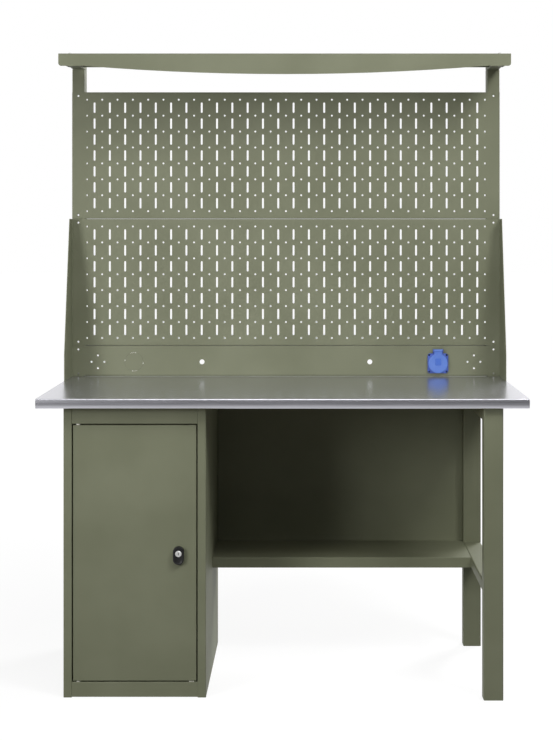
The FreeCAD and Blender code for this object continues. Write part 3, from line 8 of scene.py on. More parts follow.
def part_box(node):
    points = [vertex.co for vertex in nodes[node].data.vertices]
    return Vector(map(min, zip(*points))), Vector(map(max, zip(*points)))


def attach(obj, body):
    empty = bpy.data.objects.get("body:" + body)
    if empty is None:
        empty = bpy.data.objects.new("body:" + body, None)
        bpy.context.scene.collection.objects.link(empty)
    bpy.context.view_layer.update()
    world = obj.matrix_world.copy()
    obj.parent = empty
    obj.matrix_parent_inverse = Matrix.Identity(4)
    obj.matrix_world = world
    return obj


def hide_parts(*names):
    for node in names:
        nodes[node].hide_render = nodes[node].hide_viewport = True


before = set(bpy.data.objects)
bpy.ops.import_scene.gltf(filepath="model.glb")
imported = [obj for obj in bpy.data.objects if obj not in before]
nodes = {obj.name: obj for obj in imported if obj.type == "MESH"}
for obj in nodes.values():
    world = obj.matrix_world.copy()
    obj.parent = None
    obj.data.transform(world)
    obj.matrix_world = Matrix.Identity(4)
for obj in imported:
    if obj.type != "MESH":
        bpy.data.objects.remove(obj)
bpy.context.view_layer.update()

# Leg frame: two rectangular steel tubes with welded side rails, standing under the right end.
# Mild steel, coated after welding with olive powder that is baked to an even satin skin.
MM = 0.001
COAT_SHADE_HEX = "#6c6f59"
COAT_LIGHT_HEX = "#757862"
COAT_CLOUD_MM = 240.0
COAT_CLOUD_OCTAVES = 3.0
COAT_CLOUD_SPREAD = (0.35, 0.65)
COAT_PEEL_MM = 6.0
COAT_PEEL_OCTAVES = 2.0
COAT_PEEL_DEPTH_MM = 0.06
COAT_PEEL_STRENGTH = 0.25
COAT_ROUGHNESS = (0.52, 0.62)
COAT_SHINE = 0.32


def linear(hex_colour):
    """An sRGB hex colour as linear red, green, blue and alpha."""
    shares = [int(hex_colour[place:place + 2], 16) / 255 for place in (1, 3, 5)]
    return [s / 12.92 if s <= 0.04045 else ((s + 0.055) / 1.055) ** 2.4 for s in shares] + [1.0]


def connect(tree, node, links):
    """Links outputs into the named sockets of a node."""
    for socket, output in links.items():
        tree.links.new(output, node.inputs[socket])


def add(tree, kind, values=None, links=None, stops=(), **settings):
    """Adds a node with its settings, its socket values, a ramp's colour stops and its links."""
    node = tree.nodes.new(kind)
    for name, value in settings.items():
        setattr(node, name, value)
    for socket, value in (values or {}).items():
        node.inputs[socket].default_value = value
    for index, (position, hex_colour) in enumerate(stops):
        node.color_ramp.elements[index].position = position
        node.color_ramp.elements[index].color = linear(hex_colour)
    connect(tree, node, links or {})
    return node


def surface(name):
    """A new material, its node tree, its shader and the place on the piece in metres."""
    material = bpy.data.materials.new(name)
    material.use_nodes = True
    tree = material.node_tree
    place = add(tree, "ShaderNodeTexCoord").outputs["Object"]
    return material, tree, tree.nodes["Principled BSDF"], place


def powder_coat(name, shade_hex, light_hex):
    """Baked powder coat: satin, with soft clouds and a faint orange peel, drawn coarse to show."""
    material, tree, shader, place = surface(name)
    clouds = add(tree, "ShaderNodeTexNoise",
                 {"Scale": 1 / (COAT_CLOUD_MM * MM), "Detail": COAT_CLOUD_OCTAVES},
                 {"Vector": place})
    peel = add(tree, "ShaderNodeTexNoise",
               {"Scale": 1 / (COAT_PEEL_MM * MM), "Detail": COAT_PEEL_OCTAVES},
               {"Vector": place})
    tone = add(tree, "ShaderNodeValToRGB", links={"Fac": clouds.outputs["Fac"]},
               stops=zip(COAT_CLOUD_SPREAD, (shade_hex, light_hex)))
    gloss = add(tree, "ShaderNodeMapRange",
                {"To Min": COAT_ROUGHNESS[0], "To Max": COAT_ROUGHNESS[1]},
                {"Value": peel.outputs["Fac"]})
    bump = add(tree, "ShaderNodeBump",
               {"Strength": COAT_PEEL_STRENGTH, "Distance": COAT_PEEL_DEPTH_MM * MM},
               {"Height": peel.outputs["Fac"]})
    connect(tree, shader, {"Base Color": tone.outputs["Color"],
                           "Roughness": gloss.outputs["Result"],
                           "Normal": bump.outputs["Normal"]})
    shader.inputs["Specular IOR Level"].default_value = COAT_SHINE
    return material


def dress(material, *names):
    """Gives CAD pieces their finish."""
    for name in names:
        for holder in nodes[name].material_slots:
            holder.material = material


olive_coat = powder_coat("olive_powder_coat", COAT_SHADE_HEX, COAT_LIGHT_HEX)
dress(olive_coat, "front_leg", "rear_leg", "top_side_rail", "mid_side_rail")


# Leg end plugs: ribbed inserts in the open ends of the two tubes, where they meet the floor.
# Injection moulded black plastic with a fine spark-eroded grain, held by their own spring.
PLUG_HEX = "#0d0d0d"
PLUG_LIGHT_HEX = "#171717"
PLASTIC_GRAIN_MM = 1.2
PLASTIC_GRAIN_DEPTH_MM = 0.06
PLASTIC_GRAIN_STRENGTH = 0.2
PLASTIC_FLOW_MM = 36.0
PLASTIC_OCTAVES = 2.0
PLASTIC_IOR = 1.53
GLOSS_SWING = 0.05
TONE_SPREAD = (0.3, 0.7)


def moulded_plastic(name, low_hex, high_hex, roughness, shine):
    """Moulded plastic: a slight flow tone and the tool's fine grain, drawn coarse to show."""
    material, tree, shader, place = surface(name)
    flow = add(tree, "ShaderNodeTexNoise",
               {"Scale": 1 / (PLASTIC_FLOW_MM * MM), "Detail": PLASTIC_OCTAVES},
               {"Vector": place})
    grain = add(tree, "ShaderNodeTexNoise",
                {"Scale": 1 / (PLASTIC_GRAIN_MM * MM), "Detail": PLASTIC_OCTAVES},
                {"Vector": place})
    tone = add(tree, "ShaderNodeValToRGB", links={"Fac": flow.outputs["Fac"]},
               stops=zip(TONE_SPREAD, (low_hex, high_hex)))
    gloss = add(tree, "ShaderNodeMapRange",
                {"To Min": roughness - GLOSS_SWING, "To Max": roughness + GLOSS_SWING},
                {"Value": grain.outputs["Fac"]})
    bump = add(tree, "ShaderNodeBump",
               {"Strength": PLASTIC_GRAIN_STRENGTH, "Distance": PLASTIC_GRAIN_DEPTH_MM * MM},
               {"Height": grain.outputs["Fac"]})
    connect(tree, shader, {"Base Color": tone.outputs["Color"],
                           "Roughness": gloss.outputs["Result"],
                           "Normal": bump.outputs["Normal"]})
    shader.inputs["IOR"].default_value = PLASTIC_IOR
    shader.inputs["Specular IOR Level"].default_value = shine
    return material


black_plastic = moulded_plastic("black_moulded_abs", PLUG_HEX, PLUG_LIGHT_HEX,
                                roughness=0.45, shine=0.25)
dress(black_plastic, "leg_end_plugs")


# Pedestal cabinet: two folded sides that carry the front stiles; floor, back, roof and top rail
# are welded in. Thin mild steel under the same olive powder coat, with a loose shelf on clips.
ZINC_HEX = "#b4b5b0"
ZINC_DULL_HEX = "#8f918e"
ZINC_SPANGLE_MM = 5.0
ZINC_CLOUD_MM = 15.0
ZINC_CLOUD_OCTAVES = 4.0
ZINC_ROUGHNESS = (0.30, 0.45)


def plated_steel(name, dull_hex, bright_hex):
    """Zinc plating: a metal skin, mottled by its crystals; pale, or blackened in its bath."""
    material, tree, shader, place = surface(name)
    spangle = add(tree, "ShaderNodeTexVoronoi", {"Scale": 1 / (ZINC_SPANGLE_MM * MM)},
                  {"Vector": place})
    dull = add(tree, "ShaderNodeTexNoise",
               {"Scale": 1 / (ZINC_CLOUD_MM * MM), "Detail": ZINC_CLOUD_OCTAVES},
               {"Vector": place})
    tone = add(tree, "ShaderNodeValToRGB", links={"Fac": dull.outputs["Fac"]},
               stops=zip(TONE_SPREAD, (dull_hex, bright_hex)))
    gloss = add(tree, "ShaderNodeMapRange",
                {"To Min": ZINC_ROUGHNESS[0], "To Max": ZINC_ROUGHNESS[1]},
                {"Value": spangle.outputs["Distance"]})
    connect(tree, shader, {"Base Color": tone.outputs["Color"],
                           "Roughness": gloss.outputs["Result"]})
    shader.inputs["Metallic"].default_value = 1.0
    return material


zinc = plated_steel("zinc_plated_steel", ZINC_DULL_HEX, ZINC_HEX)
dress(olive_coat, "cabinet_left_side", "cabinet_right_side", "cabinet_back", "cabinet_floor",
      "cabinet_roof", "cabinet_top_rail", "cabinet_shelf")
dress(zinc, "shelf_clips")


# Cabinet door: a folded steel pan with an inner stiffener, hung on two pins at its left edge.
# Olive coat like the shell; the pins turn in pale nylon washers, and rubber buffers stop it.
NYLON_HEX = "#d8d6cc"
NYLON_LIGHT_HEX = "#e6e4da"
RUBBER_HEX = "#1f1f1e"
RUBBER_LIGHT_HEX = "#2b2b29"

nylon = moulded_plastic("natural_nylon", NYLON_HEX, NYLON_LIGHT_HEX, roughness=0.45, shine=0.5)
rubber = moulded_plastic("black_rubber", RUBBER_HEX, RUBBER_LIGHT_HEX, roughness=0.75, shine=0.3)
dress(olive_coat, "door_panel", "door_stiffener")
dress(zinc, "door_pivot_plates", "pivot_pins")
dress(nylon, "pivot_washers", "door_glide")
dress(rubber, "door_buffers")


# Door lock: a key cylinder in a moulded finger pull, with a nut and a turning cam behind the door.
# Black grained plastic round a satin nickel cylinder; the pull is dished below for a fingertip.
PULL_EDGE_MM = 3.0
PULL_EDGE_STEPS = 6
PULL_DISH_MM = 2.5
PULL_DISH_REACH_MM = 13.0
PULL_STEPS = 32
PULL_RINGS = 12
PULL_FACE_SHARE = 0.98
HOUSING_CHAMFER_MM = 1.2
HOUSING_CORE_GAP_MM = 0.05
HOUSING_STEPS = 48
NICKEL_HEX = "#ececea"
NICKEL_DULL_HEX = "#d2d2d0"
NICKEL_ROUGHNESS = (0.36, 0.46)
TURNING_MM = 0.9
TURNING_WOBBLE = 1.0
WAVE_SPACING = math.pi / 10  # between the rings of a wave texture at a scale of one
FULL_SPREAD = (0.0, 1.0)
MERGE_MM = 0.001
SHARP_DEGREES = 35


def satin_nickel():
    """Turned and plated nickel: bright, with faint lathe rings, drawn coarse enough to show."""
    material, tree, shader, place = surface("satin_nickel")
    core_low, core_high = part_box("lock_core")
    centred = add(tree, "ShaderNodeMapping", {"Location": -(core_low + core_high) / 2},
                  {"Vector": place})
    marks = add(tree, "ShaderNodeTexWave",
                {"Scale": WAVE_SPACING / (TURNING_MM * MM), "Distortion": TURNING_WOBBLE},
                {"Vector": centred.outputs["Vector"]}, wave_type="RINGS", rings_direction="Y")
    tone = add(tree, "ShaderNodeValToRGB", links={"Fac": marks.outputs["Fac"]},
               stops=zip(FULL_SPREAD, (NICKEL_DULL_HEX, NICKEL_HEX)))
    gloss = add(tree, "ShaderNodeMapRange",
                {"To Min": NICKEL_ROUGHNESS[0], "To Max": NICKEL_ROUGHNESS[1]},
                {"Value": marks.outputs["Fac"]})
    connect(tree, shader, {"Base Color": tone.outputs["Color"],
                           "Roughness": gloss.outputs["Result"]})
    shader.inputs["Metallic"].default_value = 1.0
    return material


def mesh_of(shape, name):
    """Turns a finished shape into a mesh with outward faces, smooth but for its real edges."""
    bmesh.ops.remove_doubles(shape, verts=shape.verts, dist=MERGE_MM * MM)
    bmesh.ops.recalc_face_normals(shape, faces=shape.faces)
    mesh = bpy.data.meshes.new(name)
    shape.to_mesh(mesh)
    shape.free()
    mesh.shade_smooth()
    mesh.set_sharp_from_angle(angle=math.radians(SHARP_DEGREES))
    return mesh


def piece(name, mesh, material, body):
    """Puts a finished mesh into the scene as a piece that rides on a body."""
    mesh.materials.clear()
    mesh.materials.append(material)
    thing = bpy.data.objects.new(name, mesh)
    bpy.context.scene.collection.objects.link(thing)
    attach(thing, body)
    return thing


def join_rings(shape, rings):
    """Closes the bands between rings of equal point counts."""
    for lower, upper in zip(rings, rings[1:]):
        for index in range(len(lower)):
            after = (index + 1) % len(lower)
            shape.faces.new((lower[index], lower[after], upper[after], upper[index]))


def round_ring(shape, centre, radius, y, steps):
    """Adds a ring of points about an axis along Y."""
    angles = [2 * math.pi * index / steps for index in range(steps)]
    return [shape.verts.new((centre.x + radius * math.cos(a), y, centre.z + radius * math.sin(a)))
            for a in angles]


def finger_pull():
    """The pull: an upright oblong with a rounded front edge, dished about its lower centre."""
    low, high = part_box("lock_pull")
    edge = PULL_EDGE_MM * MM
    half = (high.x - low.x) / 2
    centre_x = (low.x + high.x) / 2
    low_centre = low.z + half
    high_centre = high.z - half
    shape = bmesh.new()

    def outline(inset, y):
        ring = []
        radius = half - inset
        for index in range(2 * PULL_STEPS):
            upper = index < PULL_STEPS
            angle = math.pi * (index % PULL_STEPS) / (PULL_STEPS - 1) + (0 if upper else math.pi)
            x = centre_x + radius * math.cos(angle)
            z = (high_centre if upper else low_centre) + radius * math.sin(angle)
            reach = math.hypot(x - centre_x, z - low_centre) / (PULL_DISH_REACH_MM * MM)
            dish = PULL_DISH_MM * MM * max(0.0, 1 - reach * reach) if inset > edge else 0.0
            ring.append(shape.verts.new((x, y + dish, z)))
        return ring

    rings = [outline(0, high.y), outline(0, low.y + edge)]
    for step in range(1, PULL_EDGE_STEPS + 1):
        turn = math.pi / 2 * step / PULL_EDGE_STEPS
        rings.append(outline(edge * (1 - math.cos(turn)), low.y + edge * (1 - math.sin(turn))))
    for step in range(1, PULL_RINGS + 1):
        rings.append(outline(edge + (half - edge) * PULL_FACE_SHARE * step / PULL_RINGS, low.y))
    join_rings(shape, rings)
    shape.faces.new(rings[-1])
    shape.faces.new(rings[0])
    return mesh_of(shape, "finger_pull")


def cylinder_housing():
    """The turned sleeve round the key core, with a chamfer at its front."""
    low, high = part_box("lock_housing")
    core_low, core_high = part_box("lock_core")
    outer = (high.x - low.x) / 2
    inner = (core_high.x - core_low.x) / 2 + HOUSING_CORE_GAP_MM * MM
    chamfer = HOUSING_CHAMFER_MM * MM
    profile = ((inner, high.y), (outer, high.y), (outer, low.y + chamfer),
               (outer - chamfer, low.y), (inner, low.y))
    shape = bmesh.new()
    rings = [round_ring(shape, (low + high) / 2, radius, y, HOUSING_STEPS)
             for radius, y in profile]
    join_rings(shape, rings + [rings[0]])
    return mesh_of(shape, "lock_housing_turned")


nickel = satin_nickel()
pull = piece("finger_pull", finger_pull(), black_plastic, "door")
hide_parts("lock_pull")
housing = piece("lock_housing_turned", cylinder_housing(), nickel, "door")
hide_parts("lock_housing")
dress(nickel, "lock_core")
dress(zinc, "lock_nut", "lock_cam", "cam_screw")


# Under-shelf and modesty panel: a folded shelf between cabinet and leg frame, a sheet behind it.
# Olive coated steel; the shelf is welded in, cross recess bolts hold the panel's side flanges.
HEAD_STEPS = 48
HEAD_RINGS = 14
HEAD_CROWN_POWER = 4
RECESS_WIDTH_SHARE = 0.15
RECESS_LENGTH_SHARE = 0.56
RECESS_DEPTH_SHARE = 0.55
SHANK_STEPS = 20
SPIN_SEED = 7
RANDOM_MAX_INPUT = 3  # the random node's sockets for a single number
RANDOM_OUTPUT = 1
MODESTY_HEAD_MM = 3.5
MODESTY_SHANK_MM = 6.0


def close_ring(shape, ring, tip):
    """Closes a ring with triangles to one point."""
    for index in range(len(ring)):
        shape.faces.new((ring[index], ring[(index + 1) % len(ring)], tip))


def screw_head():
    """A pan head of unit width and height with a cross recess, the template of every screw."""
    shape = bmesh.new()

    def point(radius, angle):
        x = radius * math.cos(angle)
        y = radius * math.sin(angle)
        near, far = sorted((abs(x), abs(y)))
        in_recess = near < RECESS_WIDTH_SHARE / 2 and far < RECESS_LENGTH_SHARE / 2
        crown = max(0.0, 1 - (2 * radius) ** HEAD_CROWN_POWER) ** (1 / HEAD_CROWN_POWER)
        return shape.verts.new((x, y, crown - RECESS_DEPTH_SHARE if in_recess else crown))

    tip = point(0.0, 0.0)
    rings = []
    for ring_index in range(1, HEAD_RINGS + 1):
        radius = math.sin(math.pi / 2 * ring_index / HEAD_RINGS) / 2
        rings.append([point(radius, 2 * math.pi * step / HEAD_STEPS)
                      for step in range(HEAD_STEPS)])
    join_rings(shape, rings)
    close_ring(shape, rings[0], tip)
    shape.faces.new(rings[-1])
    return mesh_of(shape, "screw_head")


def node_group(name, inputs, output):
    """A new geometry tree with named inputs of given kinds and one output, and those inputs."""
    tree = bpy.data.node_groups.new(name, "GeometryNodeTree")
    for label, kind in inputs.items():
        tree.interface.new_socket(label, in_out="INPUT", socket_type="NodeSocket" + kind)
    tree.interface.new_socket(output, in_out="OUTPUT", socket_type="NodeSocketGeometry")
    return tree, add(tree, "NodeGroupInput").outputs


def end_group(tree, geometry, finish, output):
    """Ends a geometry tree: makes its copies real, gives them a finish and hands them out."""
    whole = add(tree, "GeometryNodeRealizeInstances", links={"Geometry": geometry})
    finished = add(tree, "GeometryNodeSetMaterial",
                   links={"Geometry": whole.outputs["Geometry"], "Material": finish})
    add(tree, "NodeGroupOutput", links={output: finished.outputs["Geometry"]})


def screw_tree():
    """Nodes that set a screw on each seat: the template's head, turned at random, and a shank."""
    tree, given = node_group(
        "screws", {"Seats": "Geometry", "Head": "Object", "Head diameter": "Float",
                   "Head height": "Float", "Shank diameter": "Float", "Finish": "Material"},
        "Screws")
    facing = add(tree, "GeometryNodeInputNamedAttribute", {"Name": "facing"},
                 data_type="FLOAT_VECTOR")
    length = add(tree, "GeometryNodeInputNamedAttribute", {"Name": "shank_length"},
                 data_type="FLOAT")
    aimed = add(tree, "FunctionNodeAlignRotationToVector",
                links={"Vector": facing.outputs["Attribute"]}, axis="Z")
    turn = add(tree, "FunctionNodeRandomValue",
               {RANDOM_MAX_INPUT: 2 * math.pi, "Seed": SPIN_SEED}, data_type="FLOAT")
    spin = add(tree, "ShaderNodeCombineXYZ", links={"Z": turn.outputs[RANDOM_OUTPUT]})
    turned_round = add(tree, "FunctionNodeRotateRotation",
                       links={"Rotation": aimed.outputs["Rotation"],
                              "Rotate By": spin.outputs["Vector"]},
                       rotation_space="LOCAL")
    head = add(tree, "GeometryNodeObjectInfo", links={"Object": given["Head"]})
    head_size = add(tree, "ShaderNodeCombineXYZ",
                    links={"X": given["Head diameter"], "Y": given["Head diameter"],
                           "Z": given["Head height"]})
    round_bar = add(tree, "GeometryNodeMeshCylinder",
                    {"Vertices": SHANK_STEPS, "Radius": 0.5, "Depth": 1.0})
    shank = add(tree, "GeometryNodeTransform", {"Translation": (0, 0, -0.5)},
                {"Geometry": round_bar.outputs["Mesh"]})
    shank_size = add(tree, "ShaderNodeCombineXYZ",
                     links={"X": given["Shank diameter"], "Y": given["Shank diameter"],
                            "Z": length.outputs["Attribute"]})
    joined = add(tree, "GeometryNodeJoinGeometry")
    for shape, size in ((head, head_size), (shank, shank_size)):
        placed = add(tree, "GeometryNodeInstanceOnPoints",
                     links={"Points": given["Seats"], "Instance": shape.outputs["Geometry"],
                            "Rotation": turned_round.outputs["Rotation"],
                            "Scale": size.outputs["Vector"]})
        connect(tree, joined, {"Geometry": placed.outputs["Instances"]})
    end_group(tree, joined.outputs["Geometry"], given["Finish"], "Screws")
    return tree


def baked(name, base, tree, sizes):
    """Runs a node tree on a base mesh, with its named sizes; the result is an open shape."""
    holder = bpy.data.objects.new(name, base)
    bpy.context.scene.collection.objects.link(holder)
    modifier = holder.modifiers.new(name, "NODES")
    modifier.node_group = tree
    for size_name, value in sizes.items():
        modifier[tree.interface.items_tree[size_name].identifier] = value
    graph = bpy.context.evaluated_depsgraph_get()
    mesh = bpy.data.meshes.new_from_object(holder.evaluated_get(graph))
    holder.modifiers.remove(modifier)
    bpy.data.objects.remove(holder)
    shape = bmesh.new()
    shape.from_mesh(mesh)
    bpy.data.meshes.remove(mesh)
    return shape


def islands(node):
    """The boxes, as two corners, of the separate bodies that share a CAD node."""
    shape = bmesh.new()
    shape.from_mesh(nodes[node].data)
    bmesh.ops.remove_doubles(shape, verts=shape.verts, dist=MERGE_MM * MM)
    boxes = []
    for start in shape.verts:
        if start.tag:
            continue
        start.tag = True
        found = [start]
        for vertex in found:
            for edge in vertex.link_edges:
                neighbour = edge.other_vert(vertex)
                if not neighbour.tag:
                    neighbour.tag = True
                    found.append(neighbour)
        boxes.append([Vector(pick(v.co[axis] for v in found) for axis in range(3))
                      for pick in (min, max)])
    shape.free()
    return boxes


put_screws = screw_tree()
screw_heads = bpy.data.objects.new("screw_head", screw_head())
bpy.context.scene.collection.objects.link(screw_heads)


def recessed_screws(node, head_mm, shank_mm, axis, side_of, finish):
    """Remakes the screws of a CAD node along one axis; side_of says which way each head faces."""
    seats = bpy.data.meshes.new(node + "_seats")
    places, facings, lengths = [], [], []
    for low, high in islands(node):
        seat = (low + high) / 2
        side = side_of(seat)
        seat[axis] = (high if side > 0 else low)[axis] - side * head_mm * MM
        places.append(seat)
        facings += [side if place == axis else 0.0 for place in range(3)]
        lengths.append(high[axis] - low[axis] - head_mm * MM)
        head_diameter = high[axis - 1] - low[axis - 1]
    seats.from_pydata(places, [], [])
    seats.attributes.new("facing", "FLOAT_VECTOR", "POINT").data.foreach_set("vector", facings)
    seats.attributes.new("shank_length", "FLOAT", "POINT").data.foreach_set("value", lengths)
    shape = baked(node + "_turned", seats, put_screws,
                  {"Head": screw_heads, "Head diameter": head_diameter,
                   "Head height": head_mm * MM, "Shank diameter": shank_mm * MM,
                   "Finish": finish})
    screws = piece("recessed_" + node, mesh_of(shape, "recessed_" + node), finish,
                   "bench")
    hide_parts(node)


dress(olive_coat, "under_shelf", "modesty_panel")
panel_low, panel_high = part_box("modesty_panel")
panel_middle = (panel_low.x + panel_high.x) / 2
recessed_screws("modesty_bolts", MODESTY_HEAD_MM, MODESTY_SHANK_MM, axis=0,
                side_of=lambda seat: 1.0 if seat.x < panel_middle else -1.0, finish=zinc)


# Worktop: a satin steel cover folded over a chipboard core and screwed down from below.
# The cover wraps the front edge with a small radius, so it shows a bright line along its length.
COVER_SHEET_MM = 1.5
COVER_RADIUS_MM = 4.0
COVER_CROWN_MM = 1.0
COVER_LIP_MM = 22.0
COVER_ARC_STEPS = 10
STEEL_HEX = "#d4d4db"
STEEL_DULL_HEX = "#c7c7ce"
STEEL_ROUGHNESS = (0.20, 0.28)
STEEL_METALLIC = 0.88
BRUSH_LENGTH_MM = 160.0
BRUSH_WIDTH_MM = 3.0
BRUSH_OCTAVES = 3.0
BOARD_HEX = "#8d6f4b"
BOARD_LIGHT_HEX = "#b3936a"
BOARD_ROUGHNESS = 0.8
CHIP_MM = 9.0
CHIP_DEPTH_MM = 0.2
CHIP_STRENGTH = 0.3
WORKTOP_HEAD_MM = 3.0
WORKTOP_SHANK_MM = 5.0


def arc(centre_u, centre_v, radius, first, last, steps):
    """Points of a round stretch, from one angle to another in degrees."""
    angles = [math.radians(first + (last - first) * index / steps) for index in range(steps + 1)]
    return [(centre_u + radius * math.cos(a), centre_v + radius * math.sin(a)) for a in angles]


def prism(shape, outline, low, high, lay):
    """Adds a straight bar of a closed outline; lay turns a point and the run into a place."""
    start = [shape.verts.new(lay(u, v, low)) for u, v in outline]
    end = [shape.verts.new(lay(u, v, high)) for u, v in outline]
    shape.faces.new(start)
    shape.faces.new(end)
    join_rings(shape, [start, end])


def across_bench(y, z, x):
    """Lays an outline in the side view, with its run along X."""
    return (x, y, z)


def worktop_cover():
    """The cover: one long folded sheet with a crowned front, and a plate at each end."""
    low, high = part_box("worktop_cover")
    sheet = COVER_SHEET_MM * MM
    radius = COVER_RADIUS_MM * MM
    crown = COVER_CROWN_MM * MM
    lip = low.y + COVER_LIP_MM * MM
    half_flat = (high.z - low.z) / 2 - radius
    face_radius = (half_flat ** 2 + crown ** 2) / (2 * crown)
    lean = math.degrees(math.asin(half_flat / face_radius))
    front = low.y + crown + radius
    lower = low.z + radius
    upper = high.z - radius
    face = arc(low.y + face_radius, (low.z + high.z) / 2, face_radius, 180 + lean, 180 - lean,
               COVER_ARC_STEPS)
    outer = (arc(front, lower, radius, 270, 180 + lean, COVER_ARC_STEPS) + face
             + arc(front, upper, radius, 180 - lean, 90, COVER_ARC_STEPS))
    inner = (arc(front, upper, radius - sheet, 90, 180, COVER_ARC_STEPS)
             + arc(front, lower, radius - sheet, 180, 270, COVER_ARC_STEPS))
    back = [(high.y, high.z), (high.y, low.z)]
    back_inside = [(high.y - sheet, low.z), (high.y - sheet, high.z - sheet)]
    folded = [(lip, low.z)] + outer + back + back_inside + inner + [(lip, low.z + sheet)]
    shape = bmesh.new()
    prism(shape, folded, low.x + sheet, high.x - sheet, across_bench)
    for start_x, end_x in ((low.x, low.x + sheet), (high.x - sheet, high.x)):
        prism(shape, outer + back, start_x, end_x, across_bench)
    return mesh_of(shape, "folded_worktop_cover")


def satin_steel():
    """Rolled steel: its brushing, drawn coarse enough to show, scatters a share of the light."""
    material, tree, shader, place = surface("satin_worktop_steel")
    along = 1 / (BRUSH_LENGTH_MM * MM)
    across = 1 / (BRUSH_WIDTH_MM * MM)
    spread = add(tree, "ShaderNodeMapping", {"Scale": (along, across, across)}, {"Vector": place})
    brush = add(tree, "ShaderNodeTexNoise", {"Scale": 1.0, "Detail": BRUSH_OCTAVES},
                {"Vector": spread.outputs["Vector"]})
    tone = add(tree, "ShaderNodeValToRGB", links={"Fac": brush.outputs["Fac"]},
               stops=zip(TONE_SPREAD, (STEEL_DULL_HEX, STEEL_HEX)))
    gloss = add(tree, "ShaderNodeMapRange",
                {"To Min": STEEL_ROUGHNESS[0], "To Max": STEEL_ROUGHNESS[1]},
                {"Value": brush.outputs["Fac"]})
    connect(tree, shader, {"Base Color": tone.outputs["Color"],
                           "Roughness": gloss.outputs["Result"]})
    shader.inputs["Metallic"].default_value = STEEL_METALLIC
    return material


def chipboard():
    """Pressed chipboard: brown flakes of a few millimetres with paler ones between them."""
    material, tree, shader, place = surface("raw_chipboard")
    flakes = add(tree, "ShaderNodeTexVoronoi", {"Scale": 1 / (CHIP_MM * MM)}, {"Vector": place})
    tone = add(tree, "ShaderNodeValToRGB", links={"Fac": flakes.outputs["Color"]},
               stops=zip(FULL_SPREAD, (BOARD_HEX, BOARD_LIGHT_HEX)))
    bump = add(tree, "ShaderNodeBump",
               {"Strength": CHIP_STRENGTH, "Distance": CHIP_DEPTH_MM * MM},
               {"Height": flakes.outputs["Distance"]})
    connect(tree, shader, {"Base Color": tone.outputs["Color"], "Normal": bump.outputs["Normal"]})
    shader.inputs["Roughness"].default_value = BOARD_ROUGHNESS
    return material


steel = satin_steel()
cover = piece("folded_worktop_cover", worktop_cover(), steel, "bench")
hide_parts("worktop_cover")
dress(chipboard(), "worktop_core")
recessed_screws("worktop_screws", WORKTOP_HEAD_MM, WORKTOP_SHANK_MM, axis=2,
                side_of=lambda seat: -1.0, finish=zinc)


# Rear posts: two folded channels on the worktop, each on a welded foot with two through bolts.
# Thick olive coated sheet, open at the back; the feet, bolts and nuts are zinc plated.
dress(olive_coat, "left_post", "right_post")
dress(zinc, "post_feet", "post_bolts", "post_nuts")


# Side gussets: tapered plates that brace the posts forward to the worktop.
# Plain olive coated sheet, welded to the outer faces of the posts.
dress(olive_coat, "left_gusset", "right_gusset")


# Perforated panels: two steel sheets punched with upright slots and round holes for tool hooks.
# Punched flat, folded back along the top and bottom edge, coated olive, held at four holes.
PANEL_SHEET_MM = 1.5
PANEL_BEND_MM = 1.5
FOLD_LAND_MM = 10.0
FOLD_CLEAR_OF_POST_MM = 3.0
FOLD_ARC_STEPS = 5
PEG_PITCH_MM = 50.0
PEG_ROW_MM = 52.0
SLOT_COLUMNS = 26
SLOT_ROWS = 7
SLOT_WIDTH_MM = 6.0
SLOT_LENGTH_MM = 34.0
SLOT_END_SHARE = 0.499  # of the width, just under a half, so that the corner arcs don't meet
SLOT_END_STEPS = 4
DOT_MM = 6.0
DOT_STEPS = 14
FIXING_INSET_MM = 20.0
FIXING_EDGE_MM = 12.0
FIXING_HOLE_MM = 6.6
FIXING_STEPS = 8
FIXING_SLOT_EXTRA_MM = 4.0


